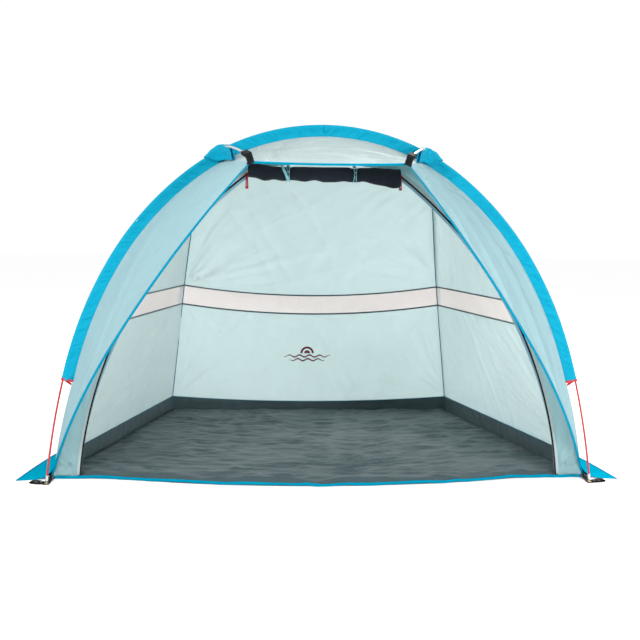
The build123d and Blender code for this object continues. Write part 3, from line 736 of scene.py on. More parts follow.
def make_stage():
    size = 30
    corners = [(-size, -size, 0), (size, -size, 0), (size, size, 0), (-size, size, 0)]
    mesh = bpy.data.meshes.new("stage_floor")
    mesh.from_pydata(corners, [], [(0, 1, 2, 3)])
    floor = bpy.data.objects.new("stage_floor", mesh)
    bpy.context.scene.collection.objects.link(floor)
    mesh.materials.append(studio_floor())
    floor.location.z = -0.0006
    world = bpy.data.worlds.new("studio")
    bpy.context.scene.world = world
    world.use_nodes = True
    world.node_tree.nodes["Background"].inputs["Color"].default_value = (1, 1, 1, 1)
    world.node_tree.nodes["Background"].inputs["Strength"].default_value = 1.02
    lamps = [("key", (-2.8, -3.8, 3.0), 1.2, 170, (0, 0.3, 0.6)),
             ("fill", (3.0, -4.2, 1.4), 1.6, 165, (0, 0.4, 0.5)),
             ("back", (1.8, 3.8, 4.0), 1.4, 330, (0, 0.2, 0.8))]
    for name, spot, width, power, target in lamps:
        data = bpy.data.lights.new(name, "AREA")
        data.shape = "DISK"
        data.size = width
        data.energy = power
        lamp = bpy.data.objects.new(name, data)
        bpy.context.scene.collection.objects.link(lamp)
        away = unit(np.array(spot) - np.array(target))
        aside = unit(np.cross(UP, away))
        axes = Matrix([list(row) for row in np.stack([aside, np.cross(away, aside), away], 1)]).to_4x4()
        axes.translation = spot
        lamp.matrix_world = axes
    bpy.context.scene.view_settings.view_transform = "Standard"


make_camera()
make_stage()


# ---------------------------------------------------------------- cloth panels

def turned(u, v, angle):
    """The same spots, read along axes that are turned by angle."""
    return u * math.cos(angle) + v * math.sin(angle), v * math.cos(angle) - u * math.sin(angle)


def folds(u, v, pitch, length, height, seed, angle=0.0):
    """Soft folds, pitch apart and length long, that run along v when angle is 0."""
    turn, run = turned(u, v, angle)
    bent = turn / pitch + 0.7 * noise(run / length, turn / pitch / 3, seed + 7)
    return height * noise(bent, run / length, seed)


def crinkle(u, v, pitch, length, height, seed, angle=0.0):
    """Sharp-edged creases, pitch apart and length long, that run along v when angle is 0."""
    turn, run = turned(u, v, angle)
    patch = 0.4 + 0.6 * smooth(0.5 + noise(run / length / 1.5, turn / pitch / 6, seed + 5))
    return height * patch * creased(turn / pitch, run / length, seed)


def fan(u, v, corner, spokes, reach, height, seed):
    """Tension creases that spread from a corner where the cloth is pulled."""
    du, dv = u - corner[0], v - corner[1]
    distance = np.hypot(du, dv)
    fade = np.exp(-distance / reach) * smooth(distance / 0.08)
    return height * fade * creased(np.arctan2(dv, du) * spokes, distance / reach * 1.4 + 3, seed)


def layered(*layers):
    """A relief that adds up several layers, each one of the kinds above followed by its settings."""
    return lambda u, v: sum(kind(u, v, *settings) for kind, *settings in layers)


def panel_points(surface, first, second, step, relief, rest=0.03):
    """An even grid on a surface, moved along its normal by relief, which dies away at the edges."""
    rise, run = step if isinstance(step, tuple) else (step, step)
    a, b = np.linspace(*first, 12), np.linspace(*second, 12)
    u, v = flat_map(surface(*np.meshgrid(a, b, indexing="ij")))
    a = np.linspace(*first, int(v[-1].max() / rise) + 2)
    b = np.linspace(*second, int(u[:, -1].max() / run) + 2)
    points = surface(*np.meshgrid(a, b, indexing="ij"))
    u, v = flat_map(points)
    edge = np.minimum(np.minimum(u, u[:, -1:] - u), np.minimum(v, v[-1:] - v))
    lift = relief(u, v) * smooth(edge / rest)
    return points + grid_normals(points) * lift[..., None]


def sewn_panel(name, node, points, finish):
    """A stretched panel of cloth in place of one CAD node."""
    piece = cloth(name, points, finish)
    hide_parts(node)


# Seams along the walls: name, height, width and finish.
PIPINGS = (("tub", TUB_HEIGHT, 0.006, "seam_teal"), ("window_low", WINDOW_LOW, 0.009, "piping_slate"),
           ("window_high", WINDOW_HIGH, 0.009, "piping_slate"))


def build_back():
    """The back wall and roof: one surface, cut at the tub and at both edges of the window."""
    sewn = layered((folds, 0.13, 0.5, 0.007, 11), (folds, 0.045, 0.3, 0.0016, 12),
                   (fan, (0, 0), 9, 0.45, 0.006, 13), (fan, (1.6, 0), 9, 0.45, 0.006, 14),
                   (fan, (0, 0.56), 8, 0.35, 0.005, 15), (fan, (1.5, 0.56), 8, 0.35, 0.005, 16),
                   (crinkle, 0.055, 0.35, 0.0034, 18, 0.5), (crinkle, 0.05, 0.3, 0.003, 19, -0.6))

    def lower(u, v):
        return sewn(u, v) + 0.0022 * creased(u / 0.05, v / 0.12, 17) * np.exp(-v / 0.1)

    window = layered((folds, 0.16, 0.3, 0.004, 21), (folds, 0.04, 0.2, 0.001, 22))
    upper = layered((folds, 0.19, 0.8, 0.008, 31, 0.25), (folds, 0.06, 0.5, 0.0032, 32, -0.35),
                    (crinkle, 0.085, 0.6, 0.0042, 37, 0.55), (crinkle, 0.07, 0.4, 0.0018, 38, -0.9),
                    (fan, (0.02, 1.42), 12, 0.6, 0.01, 33), (fan, (1.28, 1.42), 12, 0.6, 0.01, 34),
                    (fan, (0, 0), 12, 0.6, 0.01, 35), (fan, (1.5, 0), 12, 0.6, 0.01, 36))
    tub, low, high = (float(ridge_share(h)) for h in (TUB_HEIGHT, WINDOW_LOW, WINDOW_HIGH))
    panels = (("canopy_back_lower", "back_lower", (tub, low), 0.009, lower, "canopy_cloth",
               (1.64, 0.57), 0.87),
              ("canopy_back_window", "back_window", (low, high), 0.009, window, "window_mesh",
               (1.52, 0.115), 0.165),
              ("canopy_roof", "back_upper", (high, 1), 0.011, upper, "canopy_cloth", (1.52, 1.5), 1.72))
    for name, node, shares, step, relief, finish, flat, area in panels:
        points = panel_points(back_surface, shares, (-1, 1), step, relief)
        sewn_panel(name, node, points, finish)
    across = np.linspace(-1, 1, 180)
    for seam, height, width, finish in PIPINGS:
        share = float(ridge_share(height))
        line = back_surface(np.full_like(across, share), across)
        up = unit(back_surface(np.full_like(across, share + 0.01), across) - line)
        kind = "seam" if seam == "tub" else "piping"
        sweep(f"{kind}_back_{seam}", line, up, slab(width, 0.0028), finish)


def build_sides():
    back = np.linspace(0, 1, 150)
    for side, facing, seed in SIDES:
        lower = layered((folds, 0.075, 0.5, 0.004, seed + 41, -0.5),
                        (folds, 0.03, 0.3, 0.0014, seed + 42, -0.4),
                        (fan, (0, 0), 16, 0.8, 0.014, seed + 43), (fan, (1.55, 0), 9, 0.3, 0.006, seed + 44),
                        (crinkle, 0.042, 0.6, 0.0105, seed + 46, -0.5),
                        (crinkle, 0.05, 0.3, 0.002, seed + 47, 0.4),
                        (fan, (0, 0.56), 9, 0.3, 0.006, seed + 45))
        window = layered((folds, 0.11, 0.3, 0.003, seed + 51))
        upper = layered((folds, 0.09, 0.6, 0.005, seed + 61, 0.4),
                        (crinkle, 0.05, 0.4, 0.0036, seed + 64, 0.45),
                        (fan, (0, 0), 10, 0.4, 0.004, seed + 62), (fan, (1.3, 0), 10, 0.4, 0.004, seed + 63))
        low, high = (TUB_HEIGHT, WINDOW_LOW), (WINDOW_LOW, WINDOW_HIGH)
        panels = (("lower", side_surface, low, 0.009, lower, "canopy_cloth", (1.5, 0.57), 0.78),
                  ("window", side_surface, high, 0.009, window, "window_mesh", (1.4, 0.115), 0.15),
                  ("upper", side_top_surface, (0, 0.985), 0.01, upper, "canopy_cloth", (1.3, 1.1), 0.66))
        for part, surface, span, step, relief, finish, flat, area in panels:
            points = panel_points(surface, span, (0, 1), step, relief) * facing
            sewn_panel(f"canopy_{side}_{part}", f"{side}_side_{part}", points, finish)
        for seam, height, width, finish in PIPINGS:
            line = side_surface(np.full_like(back, height), back) * facing
            sweep(f"piping_{side}_{seam}", line, UP, slab(width, 0.0028), finish)
        sweep(f"seam_{side}_ridge", ridge(np.linspace(0, 1, 200)) * facing, ACROSS * facing + BACK,
              slab(0.0105, 0.004), "seam_teal")


def build_front():
    """The wings ahead of the arch, the visor between them, and the doorway's surround behind them."""
    for side, facing, seed in SIDES:
        wing = layered((folds, 0.05, 0.9, 0.0065, seed + 71, 0.05), (folds, 0.018, 0.6, 0.0019, seed + 72),
                       (crinkle, 0.036, 1.1, 0.012, seed + 73, 0.04),
                       (crinkle, 0.06, 0.4, 0.0024, seed + 75, -0.7),
                       (fan, (0.3, 1.62), 12, 0.5, 0.004, seed + 74))
        # wing_cloth is a darker copy of the canopy cloth: painted shade on the wings.
        points = panel_points(wing_surface, (0.004, 1), (0, 1), 0.0065, wing, 0.02) * facing
        sewn_panel(f"wing_{side}", f"{side}_wing", points, "wing_cloth")
    visor = layered((folds, 0.07, 0.5, 0.0042, 81), (crinkle, 0.04, 0.3, 0.003, 84, 0.5),
                    (fan, (0.2, 0.12), 14, 0.35, 0.009, 82), (fan, (0.2, 0.78), 14, 0.35, 0.009, 83))
    points = panel_points(visor_surface, (-1, 1), (0, 1), 0.007, visor, 0.02)
    sewn_panel("visor_cloth", "visor", points, "canopy_cloth")
    leg = layered((folds, 0.05, 0.5, 0.0045, 91, 0.15), (crinkle, 0.03, 0.5, 0.003, 93, 0.1),
                  (fan, (0.1, 0), 12, 0.4, 0.011, 92))
    # shade_cloth is a darker copy of the canopy cloth: painted shade from the visor and wings on the
    # surround.
    points = panel_points(surround_leg_surface, (-0.009, 1), (0, 1), 0.008, leg, 0.02)
    for side, facing, _ in SIDES:
        sewn_panel(f"doorway_{side}", "door_surround", points * facing, "shade_cloth")
    points = panel_points(surround_top_surface, (-1, 1), (0, 1), 0.008, visor, 0.02)
    sewn_panel("doorway_top", "door_surround", points, "shade_cloth")


def build_seams():
    """Piping along the arch seam, and the bound front edges."""
    reach = np.linspace(ARCH_TOP, ARCH.length - 0.004, 260)
    line = arch_seam(reach)
    cross = inward(reach)
    sleeve = reach < MOUTH
    for side, facing, _ in SIDES:
        sweep(f"sleeve_seam_{side}", line[sleeve] * facing, cross[sleeve] * facing,
              slab(0.006, 0.0042), "sleeve_cloth")
        sweep(f"corner_hem_{side}", line[~sleeve] * facing, cross[~sleeve] * facing,
              slab(0.007, 0.0032), "canopy_cloth")
    line = EDGE.even(220, 0.004)
    over = unit(unit(seam_side(line)) + 1.2 * ACROSS * np.linspace(1, 0, len(line))[:, None])
    binding = swept(line - BACK * 0.0015, over, slab(0.0115, 0.004))
    row = stitches(line - over * 0.0022 - BACK * 0.004, -BACK)
    eave = EAVE.even(90)
    eave_strip = swept(eave, UP - 0.6 * BACK, slab(0.0095, 0.0038))
    piece = place_parts("front_edge_binding", [binding, eave_strip] + mirrored([binding]), "binding_tape")
    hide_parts("front_edge_binding")
    place_parts("front_edge_stitching", [row] + mirrored([row]), "thread_dark")


def seam_side(line):
    """From each point of the wing's front edge, towards the arch seam."""
    share = np.linspace(0, 1, len(line))
    reach = ARCH.length + (ARCH_CROSS - ARCH.length) * share
    return arch_seam(reach) - line


# ---------------------------------------------------------------- pole sleeves and hoods

def sleeve_loop(fin):
    """A folded sleeve's section: round the pole, then two layers that meet at the seam, fin away."""
    radius = 0.0064
    turn = np.linspace(0.62 * math.pi, 1.38 * math.pi, 11)
    nose = np.stack([radius * np.cos(turn), radius * np.sin(turn)], -1)
    start = nose[-1, 0]
    run = np.linspace(0, 1, 10)[1:]
    depth = start + (fin - start) * run
    half = 0.0008 + (abs(nose[-1, 1]) - 0.0008) * (1 - smooth(run * 1.5))
    lower = np.stack([depth, -half], -1)
    return np.concatenate([nose, lower, (lower * np.array([1, -1]))[::-1]])


def sleeve_points(line, across, fin, seed, ruck=0.006):
    """A sleeve's grid: one row of section points at each point of its pole."""
    x, y = aimed(line, across)
    mark = Line(line).marks[:, None]
    section = np.array([sleeve_loop(width) for width in fin])
    depth = np.clip(section[..., 0] / fin[:, None], 0, 1)
    slant = mark + 0.9 * section[..., 0]
    lift = ruck * (creased(slant / 0.024, depth * 0.5 + mark / 0.4, seed) * 0.55
                   + noise(slant / 0.011, depth * 0.7 + 5, seed + 1) * 0.42)
    lift *= smooth(depth / 0.45) * (1 - 0.55 * smooth((depth - 0.75) / 0.25))
    puff = 0.0006 * noise(mark / 0.02, depth * 3, seed + 2) * np.sign(section[..., 1])
    height = section[..., 1] + lift + puff
    return line[:, None] + x[:, None] * section[..., :1] + y[:, None] * height[..., None]


def build_sleeves():
    reach = np.linspace(ARCH_TOP + 0.0003, MOUTH, 700)
    line, across = ARCH.at(reach), inward(reach)
    fin = np.full(len(line), SEAM_IN)
    for side, facing, seed in SIDES:
        points = sleeve_points(line, across, fin, seed + 101)
        piece = cloth(f"main_sleeve_{side}", points * facing, "sleeve_cloth", thick=SLEEVE_CLOTH, wrap=True)
        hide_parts(f"{side}_main_sleeve")
    crown = ARCH.at(np.linspace(ARCH_TOP - 0.004, ARCH_TOP + 0.004, 5))
    band = sleeve_loop(SEAM_IN) * 1.03 + np.array([-0.0002, 0])
    sweep("crown_seam", crown, -UP, band, "seam_deep")
    bind_mouths()
    build_strut_sleeves()


def bind_mouths():
    """Red webbing round each sleeve's mouth, cut straight in front and slanting down behind."""
    parts = []
    depth = np.linspace(-0.0068, SEAM_IN, 24)
    for front in (1, -1):
        drop = 0.0 if front > 0 else 0.016
        reach = MOUTH - 0.003 + drop * smooth((depth + 0.007) / 0.05)
        half = 0.0019 + 0.0056 * (1 - smooth(depth / 0.016))
        gape = 0.0 if front > 0 else 0.006 * smooth(depth / 0.03)
        line = ARCH.at(reach) + inward(reach) * depth[:, None] - BACK * (front * (half + gape))[:, None]
        parts.append(swept(line, ARCH.heading(reach), slab(0.010, 0.0018)))
    nose = np.linspace(-0.5, 0.5, 14) * math.pi
    reach = np.full(14, MOUTH - 0.003)
    round_pole = inward(reach) * np.cos(nose)[:, None] + BACK * np.sin(nose)[:, None]
    line = ARCH.at(reach) - 0.0075 * round_pole
    parts.append(swept(line, ARCH.heading(reach), slab(0.010, 0.0018)))
    piece = place_parts("mouth_bindings", parts + mirrored(parts), "mouth_webbing")
    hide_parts("sleeve_mouth_bindings")


def build_strut_sleeves():
    reach = np.linspace(0.06, STRUT_CROSS - HOOD_BEHIND, 420)
    line = STRUT.at(reach)
    to_seam = ridge(reach / STRUT_CROSS) - line
    fin = np.linalg.norm(to_seam, axis=1)
    mouth = STRUT.at(np.linspace(0.058, 0.07, 4))
    heading = STRUT.heading(0.065)
    square = to_seam[0] - heading * (to_seam[0] @ heading)
    band = sleeve_loop(fin[0]) * 1.1
    for side, facing, seed in SIDES:
        points = sleeve_points(line, to_seam, fin, seed + 111, 0.0026)
        piece = cloth(f"strut_sleeve_{side}", points * facing, "sleeve_cloth", thick=SLEEVE_CLOTH, wrap=True)
        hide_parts(f"{side}_strut_sleeve")
        build_hood(side, facing, seed)
        sweep(f"strut_mouth_{side}", mouth * facing, square * facing, band, "webbing_black")


def build_hood(side, facing, seed):
    """The patch that carries a strut over the arch: wide on the sleeve, with an open point in front."""
    share = np.linspace(0, 1, 64)
    top = STRUT.at(STRUT_CROSS - 0.07 + (0.07 + HOOD_AHEAD) * share) + UP * 0.0062
    top = top + UP * (0.0016 * np.sin(share * math.pi) * (1 + noise(share * 7, 0.5, seed + 121)))[:, None]
    reach = np.array([0.045, 0.072, 0.066, 0.034]) + ARCH_CROSS
    wide = ARCH.at(reach) + inward(reach) * np.array([[0.03], [-0.008], [-0.006], [0.03]])
    tip = mix(CROSS_SEAM, EAVE_CORNER, 0.40) + UP * 0.003
    route = [wide[0] + BACK * 0.05, wide[1] + BACK * 0.012, wide[2] - BACK * 0.012, wide[3] - BACK * 0.014,
             mix(wide[3], tip, 0.5) - BACK * 0.006 + UP * 0.003, tip + ACROSS * 0.010 - BACK * 0.002]
    outer = Line(smooth_path(route, 120))
    outer = outer.at(outer.length * (0.6 * share + 0.4 * share ** 3))
    inner = mix(CROSS_SEAM, EAVE_CORNER, -0.17 + 0.57 * share) + UP * 0.002 - ACROSS * 0.003
    across = np.linspace(-1, 1, 41)
    foot = np.where((across < 0)[None, :, None], outer[:, None], inner[:, None])
    drop = foot - top[:, None]
    depth = np.abs(across)
    points = top[:, None] + drop * depth[None, :, None] ** np.array([0.82, 0.82, 1.3])
    side_way = unit(np.cross(STRUT.heading(STRUT_CROSS), UP)) * np.sign(across)[:, None]
    side_way = side_way * np.sign((side_way * drop[20]).sum(-1, keepdims=True) + 1e-9) * np.array([1, 1, 0])
    points = points + side_way * (0.0062 * (1 - np.exp(-depth / 0.06)) * (1 - depth))[:, None]
    pucker = 0.0022 * creased(share[:, None] * 7 + across * 1.4, across[None] * 2, seed + 122)
    points = points + grid_normals(points) * (pucker * smooth((1 - np.abs(across)) / 0.25))[..., None]
    piece = cloth(f"hood_{side}", points * facing, "sleeve_cloth", thick=FLAP_CLOTH)
    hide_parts(f"{side}_crossing_hood")
    rim = points[-1] - STRUT.heading(STRUT_CROSS + HOOD_AHEAD) * 0.001
    sweep(f"hood_rim_{side}", rim * facing, -STRUT.heading(STRUT_CROSS) * facing, slab(0.004, 0.0016),
          "sleeve_cloth")


# ---------------------------------------------------------------- floor and flaps

def floor_front(count=161):
    flat = smooth_path([(x, y, 0) for x, y in FLOOR_FRONT], count * 4)
    x = np.linspace(FLOOR_FRONT[0][0], FLOOR_FRONT[-1][0], count)
    return np.stack([x, np.interp(x, flat[:, 0], flat[:, 1]), np.zeros(count)], -1)


def floor_surface(depth, across):
    front_x = across * FLOOR_FRONT[-1][0]
    line = floor_front()
    low = np.full_like(across, FLOOR_LIFT)
    front = np.stack([front_x, np.interp(front_x, line[:, 0], line[:, 1]), low], -1)
    back = np.stack([across * BACK_CORNER[0], np.full_like(across, BACK_CORNER[1]), low], -1)
    return mix(front, back, depth)


def crumples(u, v, seed):
    """Coated sheet that was folded away: long soft waves with a net of sharper creases on them."""
    bend = 0.06 * noise(u / 0.3, v / 0.3, seed + 4)
    lift = 0.0064 + 0.0026 * (1 + noise(u / 0.33, v / 0.16, seed))
    lift += 0.0034 * (1 + creased(u / 0.3, (v + bend) / 0.09, seed + 1))
    lift += 0.0056 * (1 + creased(u / 0.14 + v, (v + bend) / 0.042, seed + 2))
    lift += crinkle(u, v, 0.05, 0.3, 0.0034, seed + 5, 1.15)
    lift += crinkle(u, v, 0.06, 0.3, 0.003, seed + 6, 2.0)
    return lift + 0.0013 * (1 + noise(u / 0.07, (v - bend) / 0.019, seed + 3))


def build_floor():
    relief = layered((crumples, 131))
    points = panel_points(floor_surface, (0, 1), (-1, 1), (0.0068, 0.0125), relief, 0.05)
    points[..., 2] = np.abs(points[..., 2] - FLOOR_LIFT) + FLOOR_LIFT
    sewn_panel("floor_sheet", "floor_tub", points, "floor_sheet")

    def wall(u, v):
        return 0.0026 * creased(u / 0.06, v / 0.09, 141) + folds(u, v, 0.14, 0.2, 0.0034, 142)

    tub = float(ridge_share(TUB_HEIGHT))
    points = panel_points(back_surface, (0.0004, tub), (-1, 1), 0.0085, wall, 0.02)
    sewn_panel("tub_back", "floor_tub", points, "tub_cloth")
    points = panel_points(side_surface, (0.0012, TUB_HEIGHT), (0, 1), 0.0085, wall, 0.02)
    for side, facing, _ in SIDES:
        sewn_panel(f"tub_{side}", "floor_tub", points * facing, "tub_cloth")
    line = floor_front(200)
    ends = np.linspace(-1, 1, 200)
    line[:, 1] -= 0.0045
    line[:, 2] = 0.0046 + 0.0034 * (1 + creased(ends * 11, ends, 151)) * (1 - ends ** 8)
    line[:, 1] += 0.004 * noise(ends * 14, ends, 153) * (1 - ends ** 8)
    turn = np.linspace(0, 2 * math.pi, 14, endpoint=False)
    section = np.stack([0.0050 * np.cos(turn), 0.0056 * np.sin(turn)], -1)
    section = section * (1 + 0.12 * noise(ends * 40, ends, 152))[:, None, None]
    hem = sweep("floor_front_hem", line, BACK, section, "binding_tape")
    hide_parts("floor_front_hem")
    row = stitches(line + np.array([0, -0.0012, 0.0044]), UP - 0.4 * BACK, 0.006, 0.004)
    place_parts("floor_hem_stitching", [row], "thread_dark")


def build_flaps():
    """Sand flaps: sewn along the tub's side seam, and lying out on the sand."""
    inner_front = side_surface(np.array(TUB_HEIGHT), np.array(0.012)) + ACROSS * 0.005
    inner_back = side_surface(np.array(TUB_HEIGHT), np.array(0.985)) + ACROSS * 0.005
    outer_front = np.array([inner_front[0] + 0.165, inner_front[1] - 0.03, 0.0014])
    outer_back = np.array([inner_back[0] + 0.12, inner_back[1] - 0.06, 0.0014])

    def surface(a, b):
        spot = mix(mix(inner_front, inner_back, a), mix(outer_front, outer_back, a), b)
        spot[..., 0] += 0.07 * b * np.sin(math.pi * a)
        spot[..., 2] = 0.0014 + (TUB_HEIGHT - 0.0014) * (1 - b) ** (2 + 3.5 * np.exp(-a / 0.12))
        return spot

    for side, facing, seed in SIDES:

        def relief(u, v):
            creases = 0.002 * creased(v / 0.07, u / 0.06, seed + 162)
            return np.abs(folds(v, u, 0.16, 0.3, 0.005, seed + 161) + creases)

        points = panel_points(surface, (0, 1), (0, 1), 0.0085, relief, 0.02)
        points[..., 2] = np.maximum(points[..., 2], FLOOR_LIFT)
        piece = cloth(f"sand_flap_{side}", points * facing, "flap_cloth", None, FLAP_CLOTH)
        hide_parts(f"{side}_sand_flap")
        inner = points[:, 0] - ACROSS * 0.0046
        outer = points[:, -1].copy()
        outer[:, 2] = np.maximum(outer[:, 2], 0.0022)
        edge = [swept(outer, ACROSS, slab(0.008, 0.0024)), swept(inner, UP, slab(0.007, 0.0024))]
        hem = place_parts(f"sand_flap_hem_{side}", on_side(side, edge), "seam_deep", None)
        for part in (piece, hem):
            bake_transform(part)


# ---------------------------------------------------------------- doorway: zippers, pulls, rolled door, ties

def build_zippers():
    spread = np.linspace(ZIP_FOOT, ZIP_TOP, 260)
    aside = np.linspace(-0.5, 0.5, 5) * TAPE_WIDTH
    tape = zip_spot(*np.meshgrid(spread, ZIP_R + aside, indexing="ij"))
    pitch = math.degrees(0.0019 / ZIP_R)
    marks = np.arange(ZIP_FOOT + pitch, ZIP_TOP - pitch, pitch)
    inner = ZIP_R - TAPE_WIDTH / 2 + 0.0008
    out = unit(zip_spot(marks, 1.0) - zip_spot(marks, 0.5))
    tooth_line = np.array([[-0.0012, 0, 0], [0, -0.0011, 0], [0.0012, 0, 0]])
    tooth = swept(tooth_line, UP, slab(0.0012, 0.0011, 2))
    body_line = np.array([[-0.0013, 0, 0], [0.0013, 0, 0]])
    body = swept(body_line, UP, slab(0.0024, 0.0012, 2))
    y = np.broadcast_to(BACK, out.shape)
    along = np.cross(out, y)
    teeth = [copies(solid, zip_spot(marks, inner), out, y, along) for solid in (tooth, body)]
    turn, reach = np.meshgrid(spread, np.linspace(0, 1, 6), indexing="ij")
    inside = ZIP_R - 0.006 - 0.001 * reach - 0.011 * reach * smooth((turn - 9) / 18)
    fly = zip_spot(turn, inside, -0.006 - 0.001 * noise(turn / 1.3, reach * 2, 171))
    cover = ZIP_R - 0.0008 + 0.011 * reach + 0.0006 * noise(turn / 0.9, 0.5 + 0 * reach, 172)
    strip = zip_spot(turn, cover, 0.0022 + 0.0004 * noise(turn, reach, 173))
    seam = [stitches(zip_spot(spread, ZIP_R + 0.0022, 0.0031), -BACK, 0.005, 0.0034)]
    for side, facing, _ in SIDES:
        piece = cloth(f"zipper_tape_{side}", tape * facing, "zipper_black", thick=0.0012)
        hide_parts(f"{side}_zipper")
        place_parts(f"zipper_teeth_{side}", on_side(side, teeth), "cap_black")
        cloth(f"zipper_fly_{side}", fly * facing, "fly_cloth", thick=FLAP_CLOTH)
        cloth(f"zipper_facing_{side}", strip * facing, "canopy_cloth", thick=FLAP_CLOTH)
        place_parts(f"zipper_stitching_{side}", on_side(side, seam), "thread_white")


def build_pulls():
    """Doubled red cord on each slider, knotted near its frayed end."""
    for side in ("right", "left"):
        low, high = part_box(f"{side}_pull")
        middle = (low[0] + high[0]) / 2
        y = (low[1] + high[1]) / 2 - FEET_Y
        hang = y - 0.003
        top, bottom = high[2] - 0.0055, low[2] + 0.012
        parts = []
        for turn in (-1, 1):
            line = smooth_path([(middle, y, top + 0.0032), (middle + 0.003 * turn, y, top + 0.0008),
                                (middle + 0.0036 * turn, y - 0.0015, top - 0.005),
                                (middle + 0.0019 * turn, hang, top - 0.016),
                                (middle + 0.0030 * turn, hang, (top + bottom) / 2 - 0.004),
                                (middle + 0.0034 * turn, hang, bottom)], 40)
            parts.append(swept(line, BACK, circle(0.0026, 9)))
            for k in range(7):
                lean = turn * 1.2 + (k - 3) / 3
                strand = [(middle + 0.0034 * turn + 0.0012 * (k - 3) / 3, hang, bottom + 0.001),
                          (middle + 0.0022 * lean, hang + 0.0012 * math.sin(3 * k), bottom - 0.005),
                          (middle + 0.0024 * lean, hang + 0.0014 * math.cos(2 * k), bottom - 0.0105)]
                line = smooth_path(strand, 7)
                parts.append(swept(line, BACK, circle(0.0012, 6)))
        knot_turn = np.linspace(0, 2.8 * math.pi, 44)
        knot = np.stack([middle + 0.0038 * np.cos(knot_turn), hang + 0.0020 * np.sin(knot_turn),
                         top - 0.0185 + 0.0014 * knot_turn / 3], -1)
        parts.append(swept(knot, UP, circle(0.0017, 8)))
        piece = place_parts(f"pull_{side}", parts, "pull_red", f"{side}_pull")
        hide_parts(f"{side}_pull")


def roll_radius(x):
    """How far the roll's outside is from its middle: drawn in at the ties, fuller between them."""
    drawn = sum(np.exp(-((x - tie) / 0.015) ** 2) for tie in TIE_X)
    return 0.98 - 0.13 * drawn + 0.05 * noise(x / 0.07, 0.5, 181)


def build_roll():
    """The door: folded to the roll's width, then rolled up tight, with its loose outer edge hanging."""
    turns = 10.5
    around = np.linspace(0, turns, 310)
    x = np.linspace(-ROLL_LENGTH / 2, ROLL_LENGTH / 2, 112)
    spin, mark = np.meshgrid(around, x, indexing="ij")
    outer = spin / turns
    radius = (0.0035 + (ROLL_R - 0.005) * outer) * roll_radius(mark)
    radius += 0.0007 * noise(mark / 0.03, spin * 2.2, 182) * outer
    angle = -spin * 2 * math.pi - 0.9 * math.pi
    y = ROLL_Y + radius * np.cos(angle) * (1 - 0.05 * outer)
    z = ROLL_Z + radius * np.sin(angle)
    loose = smooth((mark - 0.13) / 0.18)
    low = smooth((ROLL_Z - z - 0.004) / 0.028) * outer ** 2
    z -= 0.020 * low * loose + 0.0085 * low * noise(mark / 0.042, 0.3, 183) - 0.004 * low
    z += 0.010 * smooth((-mark - 0.18) / 0.13) - 0.004 * smooth((mark - 0.2) / 0.1)
    end = np.abs(mark) / (ROLL_LENGTH / 2)
    ragged = 0.006 * noise(spin * 1.3, mark * 3, 184) * smooth((end - 0.9) / 0.1)
    edge_x = mark + ragged - np.sign(mark) * 0.006 * end
    points = np.stack([edge_x, y, z], -1)
    piece = cloth("door_roll", points, "door_mesh", thick=0.0011)
    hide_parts("rolled_door")


def build_ties():
    """Doubled elastic round the roll at each tie, hooked over a toggle, and the sewn loop it hangs from."""
    parts = []
    turn = np.linspace(0, 2 * math.pi, 60)
    for x in TIE_X:
        for aside in (-0.0052, 0.0052):
            front = np.exp(-(((turn - math.pi + 0.2) / 0.42) ** 2))
            radius = ROLL_R * 0.86 + 0.0016 + 0.0062 * front
            lean = aside * (1 - 0.35 * np.cos(2 * turn))
            line = np.stack([x + lean, ROLL_Y + radius * np.cos(turn), ROLL_Z + radius * np.sin(turn)], -1)
            parts.append(swept(line[:-1], ACROSS, circle(0.0017, 9)))
        low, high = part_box("left_toggle" if x < 0 else "right_toggle")
        waist = (low[2] + high[2]) / 2
        y = low[1] - FEET_Y
        hook = smooth_path([(x - 0.0052, y + 0.0065, waist + 0.002), (x - 0.003, y - 0.0012, waist),
                            (x + 0.003, y - 0.0012, waist), (x + 0.0052, y + 0.0065, waist + 0.002)], 24)
        parts.append(swept(hook, UP, circle(0.0014, 8)))
        hanger = [(x, DOOR_Y - 0.002, 1.338), (x, 0.088, 1.329), (x, 0.066, ROLL_Z + ROLL_R * 0.9)]
        hanger = smooth_path(hanger, 16)
        parts.append(swept(hanger, ACROSS, slab(0.012, 0.0012)))
    lean = smooth_path([(-0.181, DOOR_Y - 0.004, 1.333), (-0.176, 0.052, 1.3245), (-0.170, 0.021, 1.309),
                        (-0.161, 0.0135, 1.290), (-0.154, 0.019, 1.272), (-0.151, 0.036, 1.2645)], 40)
    parts.append(swept(lean, ACROSS, slab(0.011, 0.0011)))
    piece = place_parts("door_ties_cord", parts, "tie_cord")
    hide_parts("door_ties")


# ---------------------------------------------------------------- webbing: pockets, ground tabs, peg loops

def ribbon(path, facing, width, thick):
    """A flat strip of webbing along a path, with round edges and a row of points every 2 mm."""
    row = Line(path)
    line = row.even(max(int(row.length / 0.002), 4))
    return swept(line, facing, slab(width, thick))


